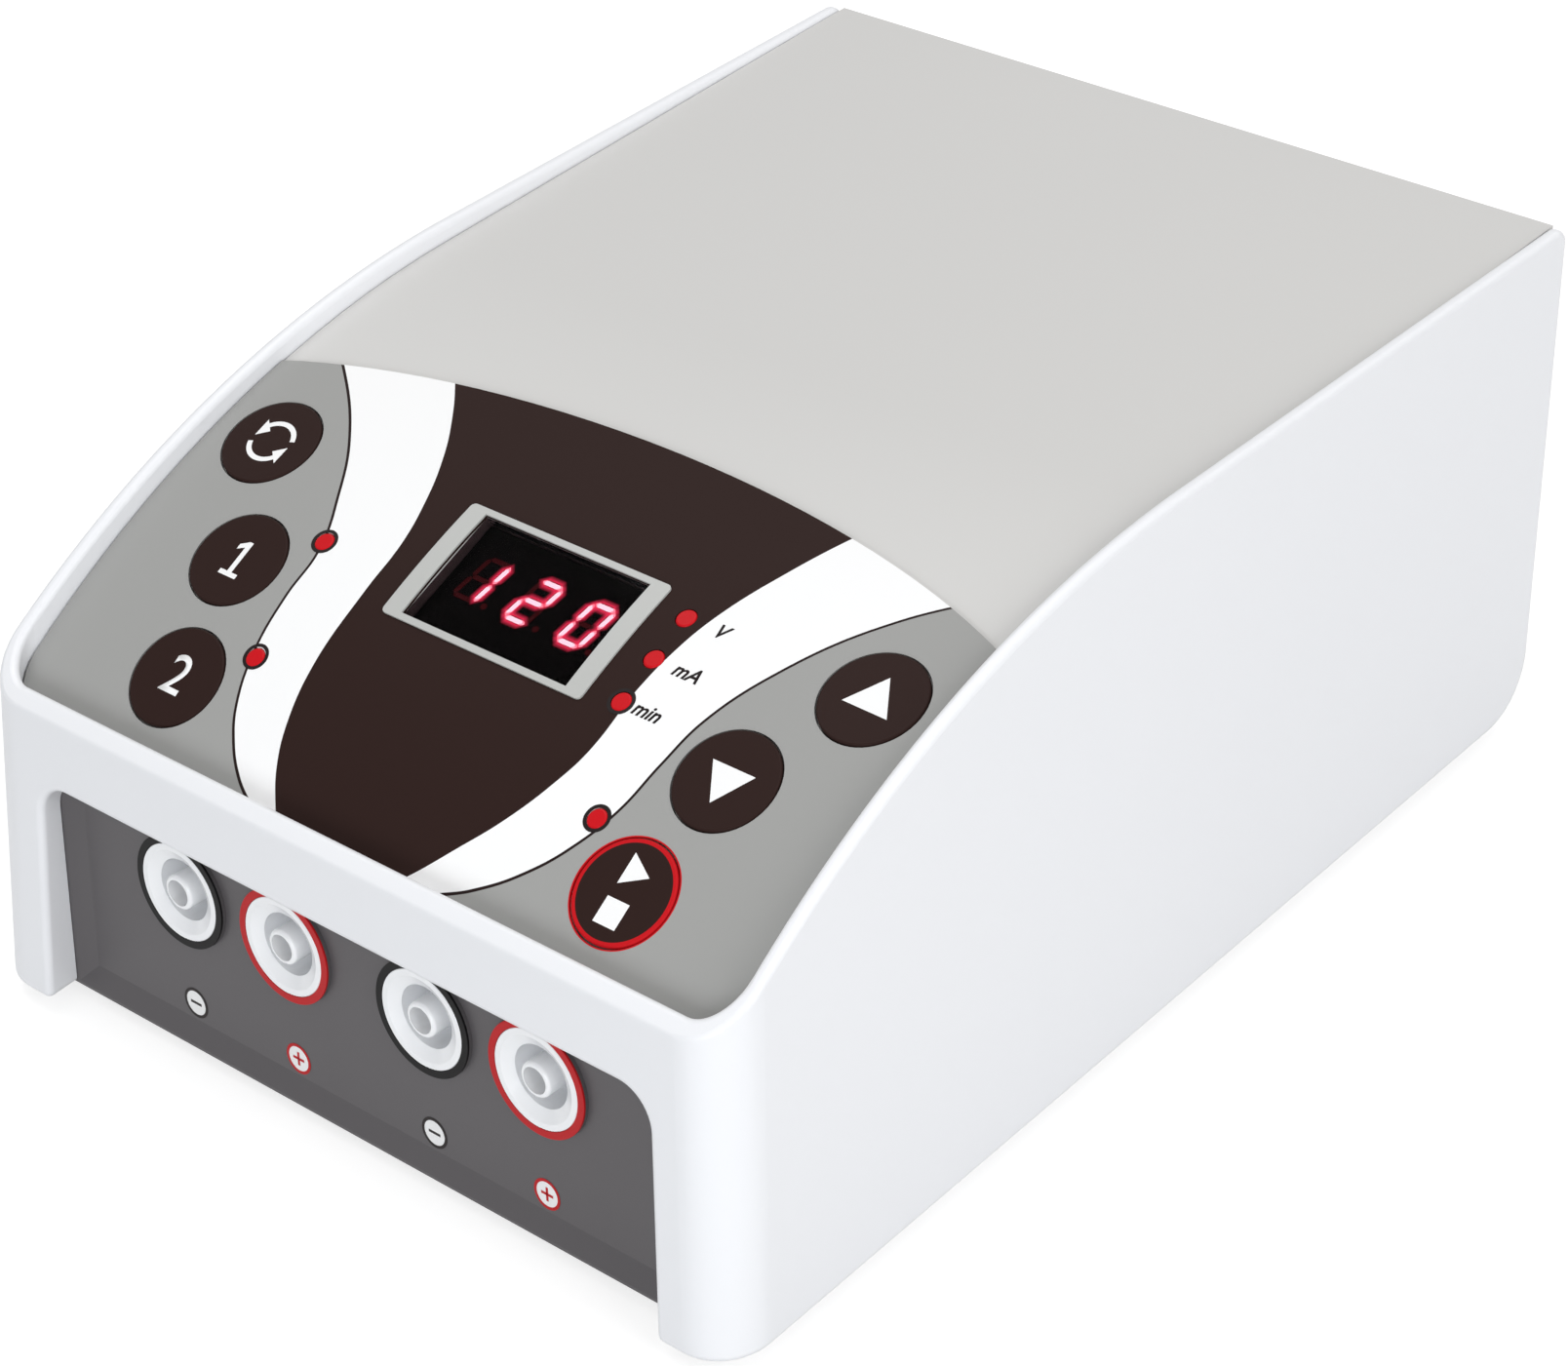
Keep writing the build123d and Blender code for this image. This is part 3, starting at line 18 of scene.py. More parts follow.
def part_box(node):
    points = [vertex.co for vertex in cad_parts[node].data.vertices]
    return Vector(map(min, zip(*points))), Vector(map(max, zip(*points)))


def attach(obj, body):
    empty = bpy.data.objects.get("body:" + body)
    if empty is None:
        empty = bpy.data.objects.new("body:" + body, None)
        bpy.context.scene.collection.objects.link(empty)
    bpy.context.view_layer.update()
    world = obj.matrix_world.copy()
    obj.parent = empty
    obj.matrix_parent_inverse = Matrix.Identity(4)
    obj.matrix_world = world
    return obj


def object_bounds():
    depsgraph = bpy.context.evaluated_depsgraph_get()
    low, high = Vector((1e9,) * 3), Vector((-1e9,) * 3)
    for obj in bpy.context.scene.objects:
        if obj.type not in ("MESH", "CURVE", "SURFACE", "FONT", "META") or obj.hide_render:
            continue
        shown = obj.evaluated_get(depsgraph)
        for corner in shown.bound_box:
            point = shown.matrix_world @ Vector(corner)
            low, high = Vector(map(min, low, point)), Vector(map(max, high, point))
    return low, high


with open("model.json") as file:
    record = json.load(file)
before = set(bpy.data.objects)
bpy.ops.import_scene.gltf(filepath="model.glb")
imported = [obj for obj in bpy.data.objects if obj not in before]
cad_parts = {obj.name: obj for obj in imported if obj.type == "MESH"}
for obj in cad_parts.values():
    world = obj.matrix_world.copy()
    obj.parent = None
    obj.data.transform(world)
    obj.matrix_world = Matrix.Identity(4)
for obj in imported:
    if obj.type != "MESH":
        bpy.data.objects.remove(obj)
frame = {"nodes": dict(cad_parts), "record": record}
cad_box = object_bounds()
nodes = frame["nodes"]
MM = 0.001
print("pieces loaded:", len(nodes))
print("size in mm:", [round((high - low) / MM, 1) for low, high in zip(*cad_box)])

# %% [markdown]
# ## Small helpers for shader nodes
# A material is a little network. Written out in full, each node takes four or five lines,
# so two helpers shorten it. `feed` gives a socket either a number or another node's
# output, and `calc` adds a Math node and returns its result, so that a formula reads
# nearly as it would on paper.

# %% Node helpers


def feed(tree, socket, value):
    """Give a socket a plain value, or link another node's output to it."""
    if isinstance(value, bpy.types.NodeSocket):
        tree.links.new(value, socket)
    else:
        socket.default_value = value


def add_node(tree, kind, inputs=(), **settings):
    """Add a node, set its properties, then feed its named inputs."""
    node = tree.nodes.new(kind)
    for name, value in settings.items():
        setattr(node, name, value)
    for name, value in dict(inputs).items():
        feed(tree, node.inputs[name], value)
    return node


def calc(tree, operation, *terms):
    """Add a Math node and return its output."""
    node = tree.nodes.new("ShaderNodeMath")
    node.operation = operation
    for socket, term in zip(node.inputs, terms):
        feed(tree, socket, term)
    return node.outputs[0]


def step_up(tree, value, low, high):
    """A soft step from 0 to 1 between two values."""
    node = add_node(tree, "ShaderNodeMapRange", interpolation_type="SMOOTHSTEP")
    for name, term in (("Value", value), ("From Min", low), ("From Max", high)):
        feed(tree, node.inputs[name], term)
    return node.outputs["Result"]


def mix_colours(tree, mask, first, second):
    """First colour where the mask is 0, second where it is 1."""
    node = add_node(tree, "ShaderNodeMix", data_type="RGBA")
    for socket, term in zip((node.inputs[0], node.inputs[6], node.inputs[7]), (mask, first, second)):
        feed(tree, socket, term)
    return node.outputs[2]


def colour(red, green, blue):
    """A colour as read off a screen, 0 to 255, turned into Blender's linear values."""
    parts = [value / 255 for value in (red, green, blue)]
    linear = [p / 12.92 if p <= 0.04045 else ((p + 0.055) / 1.055) ** 2.4 for p in parts]
    return (*linear, 1.0)


print("mid grey in linear values:", [round(part, 3) for part in colour(128, 128, 128)])

# %% [markdown]
# ## The camera
# The picture was taken from above the front right corner with a long lens, so the sides
# stay almost parallel. A camera can be aimed with a Track To constraint, but the picture is
# also rolled a few degrees, so its turn is written as three angles: round Z, up from the
# bench, and the roll.

# %% Camera
CAMERA_PLACE = Vector((371.96, -370.00, 387.94)) * MM
CAMERA_AZIMUTH = 45.22
CAMERA_ELEVATION = 34.63
CAMERA_ROLL = -6.472
CAMERA_LENS = 100.56
CAMERA_SENSOR = 36.0

turn = Matrix.Rotation(math.radians(CAMERA_AZIMUTH), 4, "Z")
turn = turn @ Matrix.Rotation(math.radians(90 - CAMERA_ELEVATION), 4, "X")
turn = turn @ Matrix.Rotation(math.radians(CAMERA_ROLL), 4, "Z")
bpy.ops.object.camera_add(location=CAMERA_PLACE, rotation=turn.to_euler())
camera = bpy.context.object
camera.name = "portrait_camera"
camera.data.lens = CAMERA_LENS
camera.data.sensor_width = CAMERA_SENSOR
bpy.context.scene.camera = camera
bpy.context.scene.view_settings.view_transform = "Standard"
print("camera looks from", [round(value, 3) for value in camera.location])

# %% [markdown]
# ## Table, background and light
# The picture has a white background. More light would turn the table white but would wash
# out the white housing too. Instead the table and the world look white only to the camera,
# and to reflections and glass, through the Light Path node. The table still takes the
# shadow of the housing.

# %% World
LAMP_WORLD = 0.44
world = bpy.data.worlds.new("studio")
bpy.context.scene.world = world
world.use_nodes = True
tree = world.node_tree
tree.nodes.clear()
path = add_node(tree, "ShaderNodeLightPath")
seen = calc(tree, "MAXIMUM", path.outputs["Is Camera Ray"], path.outputs["Is Transmission Ray"])
strength = calc(tree, "ADD", LAMP_WORLD, calc(tree, "MULTIPLY", seen, 1.0 - LAMP_WORLD))
background = add_node(tree, "ShaderNodeBackground", {"Color": (1, 1, 1, 1), "Strength": strength})
output = add_node(tree, "ShaderNodeOutputWorld")
tree.links.new(background.outputs[0], output.inputs["Surface"])
print("world lamp strength:", LAMP_WORLD)

# %% Table
TABLE_SIZE = 8.0
TABLE_TONE = 0.5
TABLE_WHITE = 0.72
bpy.ops.mesh.primitive_plane_add(size=TABLE_SIZE, location=(0, 0, 0))
table = bpy.context.object
table.name = "table_top"
table_paint = bpy.data.materials.new("table_paint")
table_paint.use_nodes = True
tree = table_paint.node_tree
shader = tree.nodes["Principled BSDF"]
shader.inputs["Base Color"].default_value = (TABLE_TONE, TABLE_TONE, TABLE_TONE, 1)
shader.inputs["Roughness"].default_value = 0.9
shader.inputs["Specular IOR Level"].default_value = 0.0
path = add_node(tree, "ShaderNodeLightPath")
seen = calc(tree, "MAXIMUM", path.outputs["Is Camera Ray"], path.outputs["Is Glossy Ray"])
seen = calc(tree, "MAXIMUM", seen, path.outputs["Is Transmission Ray"])
shader.inputs["Emission Color"].default_value = (1, 1, 1, 1)
tree.links.new(calc(tree, "MULTIPLY", seen, TABLE_WHITE), shader.inputs["Emission Strength"])
table.data.materials.append(table_paint)
print("table:", table.name, TABLE_SIZE, "metres wide")

# %% [markdown]
# The lamps are large area lights, as softboxes are. The right side is the brightest face
# in the picture, the front a little darker and cooler, and the lid is lit evenly from above.
# So one box stands on the right, a cooler one in front, and a large one hangs overhead. All
# three look at a point halfway up the supply. Their power is kept low enough that the white
# print on the film doesn't burn out.

# %% Lamps
LAMP_AIM = Vector((0, 0, 40)) * MM
COOL_WHITE = (0.94, 0.97, 1.0)


def add_lamp(name, place, size, power, tint=(1.0, 1.0, 1.0)):
    """A square area light at a place, turned to the middle of the supply."""
    turned = (LAMP_AIM - Vector(place)).to_track_quat("-Z", "Y")
    bpy.ops.object.light_add(type="AREA", location=place, rotation=turned.to_euler())
    lamp = bpy.context.object
    lamp.name = name
    lamp.data.size = size
    lamp.data.energy = power
    lamp.data.color = tint


add_lamp("right_softbox", (0.80, -0.10, 0.42), 0.45, 2.6)
add_lamp("front_softbox", (0.45, -1.10, 0.30), 0.5, 5.1, COOL_WHITE)
add_lamp("top_softbox", (-0.35, 0.30, 1.30), 1.0, 7.4)

# %% [markdown]
# ## Surface effects that several materials share
# Moulded plastic is never quite even: the mould has a fine spark-eroded grain, the gloss
# varies in soft clouds where hands have touched it, and the tone drifts a little. These
# effects are node groups with named inputs, built once and placed in each material with
# its own values.

# %% Group: moulded_grain
CLOUDS_PER_METRE = 28.0
TONES_PER_METRE = 9.0
FINE_GLOSS = 0.10


def new_group(name, inputs, outputs):
    """A shader node group with float inputs (name and default) and float outputs."""
    group = bpy.data.node_groups.new(name, "ShaderNodeTree")
    for title, default in inputs.items():
        socket = group.interface.new_socket(name=title, in_out="INPUT", socket_type="NodeSocketFloat")
        socket.default_value = default
    for title in outputs:
        group.interface.new_socket(name=title, in_out="OUTPUT", socket_type="NodeSocketFloat")
    source = group.nodes.new("NodeGroupInput")
    sink = group.nodes.new("NodeGroupOutput")
    return group, source, sink


def object_noise(tree, scale, detail, roughness=0.5):
    """Noise over the object's own coordinates; scale is in lumps per metre."""
    place = add_node(tree, "ShaderNodeTexCoord").outputs["Object"]
    noise = add_node(tree, "ShaderNodeTexNoise", {"Vector": place, "Detail": detail, "Roughness": roughness})
    feed(tree, noise.inputs["Scale"], scale)
    return noise.outputs["Fac"]


moulded_grain, source, sink = new_group(
    "moulded_grain",
    {"Grain per Metre": 2600.0, "Roughness": 0.45, "Roughness Drift": 0.08, "Tone Drift": 0.02},
    ["Height", "Roughness", "Tone"],
)
fine = object_noise(moulded_grain, source.outputs["Grain per Metre"], detail=2.0, roughness=0.6)
clouds = calc(moulded_grain, "SUBTRACT", object_noise(moulded_grain, CLOUDS_PER_METRE, detail=3.0), 0.5)
drift = calc(moulded_grain, "MULTIPLY", clouds, source.outputs["Roughness Drift"])
rough = calc(moulded_grain, "MULTIPLY_ADD", calc(moulded_grain, "SUBTRACT", fine, 0.5), FINE_GLOSS, drift)
rough = calc(moulded_grain, "ADD", rough, source.outputs["Roughness"])
slow = calc(moulded_grain, "SUBTRACT", object_noise(moulded_grain, TONES_PER_METRE, detail=2.0), 0.5)
tone = calc(moulded_grain, "MULTIPLY_ADD", slow, source.outputs["Tone Drift"], 1.0)
feed(moulded_grain, sink.inputs["Height"], fine)
feed(moulded_grain, sink.inputs["Roughness"], rough)
feed(moulded_grain, sink.inputs["Tone"], tone)
print("group:", moulded_grain.name, "with", len(moulded_grain.nodes), "nodes")

# %% [markdown]
# Edges that hands and benches rub turn a little smoother and paler. The Bevel node bends
# the normal near an edge, and where that bent normal differs from the true one there is an
# edge. It needs no clean mesh, which suits a model that comes as loose triangles.

# %% Group: rubbed_edges
RUBS_PER_METRE = 420.0
rubbed_edges, source, sink = new_group("rubbed_edges", {"Width": 0.0006, "Amount": 0.5}, ["Mask"])
bevel = add_node(rubbed_edges, "ShaderNodeBevel", {"Radius": source.outputs["Width"]}, samples=4)
geometry = add_node(rubbed_edges, "ShaderNodeNewGeometry")
dot = add_node(rubbed_edges, "ShaderNodeVectorMath", operation="DOT_PRODUCT")
rubbed_edges.links.new(bevel.outputs[0], dot.inputs[0])
rubbed_edges.links.new(geometry.outputs["Normal"], dot.inputs[1])
bend = calc(rubbed_edges, "SUBTRACT", 1.0, dot.outputs["Value"])
turned = step_up(rubbed_edges, bend, low=0.02, high=0.2)
broken = step_up(rubbed_edges, object_noise(rubbed_edges, RUBS_PER_METRE, detail=3.0), low=0.35, high=0.65)
rubbed = calc(rubbed_edges, "MULTIPLY", turned, broken)
feed(rubbed_edges, sink.inputs["Mask"], calc(rubbed_edges, "MULTIPLY", rubbed, source.outputs["Amount"]))
print("group:", rubbed_edges.name, "with", len(rubbed_edges.nodes), "nodes")

# %% [markdown]
# ## Plastics
# Most pieces are moulded plastic, and differ only in colour, gloss and grain. One function
# makes them all; the shell, the lid and the panel then only differ by their numbers.

# %% Function: plastic
materials = {}
GLOSS_DRIFT = 0.08
TONE_DRIFT = 0.03
RUBBED_PALER = 1.06
RUBBED_LIFT = 0.012
RUBBED_SMOOTHER = -0.12


def start_material(slot):
    """A new material under the record's slot name, with its node tree and shader."""
    material = bpy.data.materials.new(slot)
    material.use_nodes = True
    materials[slot] = material
    return material.node_tree, material.node_tree.nodes["Principled BSDF"]


def add_grain(tree, grain, roughness, rough_drift, tone_drift):
    """Place the grain group with a material's own values."""
    node = add_node(tree, "ShaderNodeGroup", node_tree=moulded_grain)
    values = (grain, roughness, rough_drift, tone_drift)
    for name, value in zip(("Grain per Metre", "Roughness", "Roughness Drift", "Tone Drift"), values):
        node.inputs[name].default_value = value
    return node


def toned(tree, base, tone):
    """The base colour made slightly lighter or darker by a tone near 1."""
    scaled = add_node(tree, "ShaderNodeVectorMath", operation="SCALE")
    feed(tree, scaled.inputs[0], base if isinstance(base, bpy.types.NodeSocket) else base[:3])
    feed(tree, scaled.inputs["Scale"], tone)
    return scaled.outputs[0]


def bump(tree, shader, height, distance, strength=1.0):
    """Feed a height, in metres at full strength, to the shader's normal."""
    node = add_node(tree, "ShaderNodeBump", {"Height": height, "Distance": distance, "Strength": strength})
    tree.links.new(node.outputs[0], shader.inputs["Normal"])


def plastic(slot, base, roughness=0.45, grain=2600.0, depth=0.012, worn=0.25, shine=0.5):
    """Moulded plastic: grain, drifting gloss and slightly rubbed edges."""
    tree, shader = start_material(slot)
    surface = add_grain(tree, grain, roughness, GLOSS_DRIFT, TONE_DRIFT)
    edges = add_node(tree, "ShaderNodeGroup", node_tree=rubbed_edges)
    edges.inputs["Amount"].default_value = worn
    paler = tuple(min(1.0, part * RUBBED_PALER + RUBBED_LIFT) for part in base[:3]) + (1.0,)
    tint = mix_colours(tree, edges.outputs["Mask"], base, paler)
    tree.links.new(toned(tree, tint, surface.outputs["Tone"]), shader.inputs["Base Color"])
    smooth = calc(tree, "MULTIPLY_ADD", edges.outputs["Mask"], RUBBED_SMOOTHER, surface.outputs["Roughness"])
    tree.links.new(smooth, shader.inputs["Roughness"])
    bump(tree, shader, surface.outputs["Height"], depth * MM)
    shader.inputs["Specular IOR Level"].default_value = shine
    return tree, shader


# %% Plastics of the supply
plastic("shell_white", colour(243, 244, 247), 0.38, depth=0.006, worn=0.15)
plastic("cover_grey", colour(213, 212, 210), 0.55, depth=0.006, worn=0.1, shine=0.2)
plastic("panel_dark", colour(92, 89, 91), 0.42, depth=0.008, worn=0.05, shine=0.3)
plastic("socket_white", colour(251, 252, 254), 0.22, grain=1500.0, depth=0.001, worn=0.0, shine=0.9)
plastic("ring_black", colour(9, 8, 9), 0.45, depth=0.003, worn=0.0, shine=0.15)
plastic("ring_red", colour(190, 22, 28), 0.42, depth=0.003, worn=0.0, shine=0.2)
plastic("black_plastic", colour(34, 34, 36), 0.42, grain=1900.0, depth=0.02)
plastic("module_black", colour(5, 4, 5), 0.60, depth=0.01, worn=0.0, shine=0.05)
plastic("relay_blue", colour(40, 74, 140), 0.30, depth=0.004)
plastic("can_black", colour(36, 40, 58), 0.28, depth=0.003)
plastic("winding_tape", colour(214, 178, 74), 0.30, grain=900.0, depth=0.02)
plastic("ribbon_grey", colour(150, 150, 153), 0.50, grain=1200.0, depth=0.02)
plastic("lead_brown", colour(112, 70, 44), 0.48, grain=1200.0, depth=0.01)
plastic("rubber_black", colour(30, 30, 31), 0.72, grain=1500.0, depth=0.04, worn=0.6)
print("plastics:", sorted(materials))

# %% [markdown]
# ## Metals, glass and board
# The screws, pins, contacts and the heat sink hardly show, but a look underneath or inside
# finds them. Brushed metal gets its streaks from noise that is stretched along one axis.
# The frame round the display only looks like metal: it is printed in silver, so it is made
# with the plastics' function.

# %% Metals
STREAKS_PER_METRE = 2400.0
STREAK_GLOSS = 0.20


def metal(slot, base, roughness, streaks=(1.0, 1.0, 1.0), depth=0.004):
    """Metal with fine streaks; the three factors stretch the noise along each axis."""
    tree, shader = start_material(slot)
    place = add_node(tree, "ShaderNodeTexCoord").outputs["Object"]
    mapping = add_node(tree, "ShaderNodeMapping", {"Vector": place, "Scale": streaks})
    noise = add_node(tree, "ShaderNodeTexNoise", {"Vector": mapping.outputs[0], "Detail": 3.0})
    noise.inputs["Scale"].default_value = STREAKS_PER_METRE
    surface = add_grain(tree, 900.0, roughness, rough_drift=0.15, tone_drift=0.10)
    tree.links.new(toned(tree, base, surface.outputs["Tone"]), shader.inputs["Base Color"])
    rough = calc(tree, "MULTIPLY_ADD", noise.outputs["Fac"], STREAK_GLOSS, surface.outputs["Roughness"])
    tree.links.new(rough, shader.inputs["Roughness"])
    shader.inputs["Metallic"].default_value = 1.0
    bump(tree, shader, noise.outputs["Fac"], depth * MM)


metal("screw_steel", colour(178, 180, 184), 0.25)
metal("contact_brass", colour(206, 178, 108), 0.22)
metal("nickel", colour(205, 203, 198), 0.18, streaks=(1.0, 0.1, 1.0))
metal("core_steel", colour(120, 121, 125), 0.42, streaks=(0.05, 1.0, 0.05), depth=0.03)
metal("aluminium", colour(196, 198, 201), 0.30, streaks=(1.0, 1.0, 0.05))
metal("copper_wire", colour(190, 110, 62), 0.30, streaks=(0.3, 0.3, 2.0), depth=0.05)
plastic("frame_silver", colour(190, 191, 188), 0.35, depth=0.002, worn=0.3)
print("materials so far:", len(materials))

# %% Circuit board
TRACKS_PER_METRE = 260.0
TRACK_DEPTH = 0.02
BOARD_GREENS = (colour(24, 98, 58), colour(16, 74, 44))


def circuit_board(slot):
    """Green solder mask with paler copper tracks under it."""
    tree, shader = start_material(slot)
    place = add_node(tree, "ShaderNodeTexCoord").outputs["Object"]
    cells = add_node(tree, "ShaderNodeTexVoronoi", {"Vector": place}, distance="CHEBYCHEV")
    cells.inputs["Scale"].default_value = TRACKS_PER_METRE
    tracks = step_up(tree, cells.outputs["Distance"], low=0.28, high=0.32)
    surface = add_grain(tree, 1800.0, 0.30, rough_drift=0.10, tone_drift=0.08)
    tint = mix_colours(tree, tracks, *BOARD_GREENS)
    tree.links.new(toned(tree, tint, surface.outputs["Tone"]), shader.inputs["Base Color"])
    tree.links.new(surface.outputs["Roughness"], shader.inputs["Roughness"])
    bump(tree, shader, tracks, -TRACK_DEPTH * MM)


circuit_board("board_green")
print("materials so far:", len(materials))

# %% [markdown]
# ## Indicator lights and the display
# The indicator lights are small discs of red epoxy with a rounded edge. None of them is lit,
# so the faint light they give off is a painted glow, as if light wandered about inside them.
# The display sits behind a smoked sheet, so that only the lit bars show well. Those emit a
# strong, pale light, because a lit bar is too bright for the camera and turns almost white.
# The dark bars get a painted dull red glow, as if they caught a little of that light.

# %% Lights, display bars and glass


def glowing_plastic(slot, base, light, strength, roughness=0.4, grain=1200.0, shine=0.5):
    """Smooth plastic that also gives off light of a colour."""
    _, shader = plastic(slot, base, roughness, grain, depth=0.002, worn=0.0, shine=shine)
    shader.inputs["Emission Color"].default_value = light
    shader.inputs["Emission Strength"].default_value = strength


def tinted_glass(slot, base, roughness, bending):
    """Clear sheet with a tint; its gloss carries faint smears, and its index sets its shine."""
    tree, shader = start_material(slot)
    surface = add_grain(tree, 300.0, roughness, rough_drift=0.04, tone_drift=0.0)
    tree.links.new(surface.outputs["Roughness"], shader.inputs["Roughness"])
    shader.inputs["Base Color"].default_value = base
    shader.inputs["IOR"].default_value = bending
    shader.inputs["Transmission Weight"].default_value = 1.0


# painted glow: the unlit indicator lights give off a faint red light of their own
glowing_plastic("led_red", colour(198, 18, 28), colour(214, 20, 28), 0.06, 0.35, grain=600.0, shine=0.12)
glowing_plastic("digit_lit", colour(255, 220, 226), colour(255, 225, 238), 5.0)
# painted glow: the dark bars give off a dull red light of their own
glowing_plastic("digit_dark", colour(90, 26, 30), colour(150, 30, 44), 0.30, shine=0.1)
tinted_glass("filter_dark", (0.24, 0.19, 0.20, 1.0), 0.05, 1.12)
tinted_glass("fuse_glass", (0.94, 0.97, 0.96, 1.0), 0.04, 1.49)
print("materials so far:", len(materials))

# %% [markdown]
# ## The keys
# The keys are dark brown discs in the film. The one that starts and stops a run has a red
# ring, which goes on for a little on the film round it. All six share one material, and the
# distance from the middle of that one key draws its ring: on a flat disc that distance is
# the same all the way round, however it leans. The ring ends short of the next key.

# %% Where a face is
TOP_SLACK = 0.02


def face_turn(place, normal, right=(1, 0, 0)):
    """Matrix with X to the right along a face, Y up it and Z out of it."""
    across = (Vector(right) - normal * normal.dot(Vector(right))).normalized()
    turned = Matrix((across, normal.cross(across), normal)).transposed().to_4x4()
    turned.translation = place
    return turned


def top_face(name, normal):
    """Matrix on the middle of a piece's top face, seen along a normal."""
    corners = [corner.co for corner in nodes[name].data.vertices]
    level = max(corner.dot(normal) for corner in corners)
    rim = [corner for corner in corners if corner.dot(normal) > level - TOP_SLACK * MM]
    low = Vector([min(corner[axis] for corner in rim) for axis in range(3)])
    high = Vector([max(corner[axis] for corner in rim) for axis in range(3)])
    return face_turn((low + high) / 2, normal)


def top_of_key(name):
    """Matrix on the middle of a key's top face; the key's own joint gives its normal."""
    joint = next(item for item in frame["record"]["behaviour"]["joints"] if item["child"] == name)
    return top_face(name, -Vector(joint["axis"]).normalized())


start_top = top_of_key("key_start")
print("start key's top in mm:", [round(value / MM, 2) for value in start_top.translation])

# %% Key material
RING_INNER = 6.95
RING_ON_FILM = 8.05
START_KEY_ONLY = 9.0
SOFT_EDGE = 0.03
RING_RED = colour(200, 24, 32)
FILM_BROWN = colour(47, 31, 28)
SATIN = {"roughness": 0.50, "grain": 3200.0, "depth": 0.003, "shine": 0.08}


def from_start_key(tree, place):
    """Distance in millimetres between a place and the middle of the start key's top."""
    far = add_node(tree, "ShaderNodeVectorMath", operation="DISTANCE")
    feed(tree, far.inputs[0], place)
    feed(tree, far.inputs[1], tuple(start_top.translation))
    return calc(tree, "DIVIDE", far.outputs["Value"], MM)


def key_cap(slot):
    """Dark brown disc with a satin film on it, and a red ring round the start key."""
    tree, shader = plastic(slot, FILM_BROWN, worn=0.0, **SATIN)
    out = from_start_key(tree, add_node(tree, "ShaderNodeTexCoord").outputs["Object"])
    beyond = step_up(tree, out, RING_INNER - SOFT_EDGE, RING_INNER + SOFT_EDGE)
    ring = calc(tree, "MULTIPLY", beyond, step_up(tree, out, START_KEY_ONLY, START_KEY_ONLY - 0.1))
    plain = shader.inputs["Base Color"].links[0].from_socket
    feed(tree, shader.inputs["Base Color"], mix_colours(tree, ring, plain, RING_RED))


key_cap("key_cap")
print("red ring starts at a radius of", RING_INNER, "mm")

# %% [markdown]
# ## The printed film
# The keypad is one polyester film, printed from behind: a dark brown tongue in the middle,
# a white band on each side of it, and grey fields for the keys. Curves divide the colours: a
# wide pair round the white and a narrow pair round the brown. A picture could carry them,
# but a few points on each curve are sharper at any size. The film was laid by hand, so the
# left and the right curves differ a little. Each point is a depth behind the shell's foot and
# a width out from the middle, in millimetres. The curve node works between 0 and 1, so both
# are scaled on the way in and out. A thin dark line follows the outer pair.

# %% Curves of the print
FILM_FRONT = 10.0
FILM_REACH = 70.0
WIDTH_REACH = 60.0
SHELL_FOOT = cad_box[0][1] / MM
WHITE_LEFT = [
    (10, 14.5), (12, 19.9), (14, 23.6), (17, 27.2), (21, 30.4), (28, 33.3),
    (36, 34.6), (43, 35.0), (52, 39.4), (60, 45.1), (72, 58.6),
]
WHITE_RIGHT = [
    (10, 12.0), (12, 17.1), (14, 21.5), (18, 27.2), (23, 31.6), (29, 34.6),
    (36, 35.9), (43, 37.2), (54, 42.2), (65, 49.5), (75, 59.0),
]
BROWN_LEFT = [
    (10, 12.0), (12, 14.2), (17, 18.5), (22, 21.0), (29, 22.8), (41, 23.5),
    (49, 23.9), (56, 25.9), (63, 29.2), (70, 34.0), (77, 40.2),
]
BROWN_RIGHT = [
    (10, 8.2), (12, 10.7), (17, 15.4), (23, 20.2), (29, 23.4), (34, 25.0),
    (44, 25.3), (50, 26.0), (56, 27.3), (69, 32.1), (77, 35.4),
]
OUTLINE_WIDTH = 0.42
SLOPE_STEP = 0.5
FILM_WHITE = colour(252, 252, 252)
FILM_GREY = colour(163, 163, 161)
OUTLINE_BROWN = colour(40, 28, 27)


def curve_width(tree, depth, points):
    """Width in millimetres of a colour at a depth in millimetres, off a given curve."""
    node = tree.nodes.new("ShaderNodeFloatCurve")
    curve = node.mapping.curves[0]
    while len(curve.points) < len(points):
        curve.points.new(0.5, 0.5)
    for knot, (far, wide) in zip(curve.points, points):
        knot.location = ((far - FILM_FRONT) / FILM_REACH, wide / WIDTH_REACH)
        knot.handle_type = "AUTO"
    node.mapping.update()
    share = calc(tree, "DIVIDE", calc(tree, "SUBTRACT", depth, FILM_FRONT), FILM_REACH)
    feed(tree, node.inputs["Value"], share)
    return calc(tree, "MULTIPLY", node.outputs[0], WIDTH_REACH)


def either_side(tree, right, depth, left_points, right_points):
    """Width from the left or the right curve, by a mask that is 1 on the right."""
    left_wide = curve_width(tree, depth, left_points)
    left_part = calc(tree, "MULTIPLY", calc(tree, "SUBTRACT", 1.0, right), left_wide)
    return calc(tree, "MULTIPLY_ADD", right, curve_width(tree, depth, right_points), left_part)


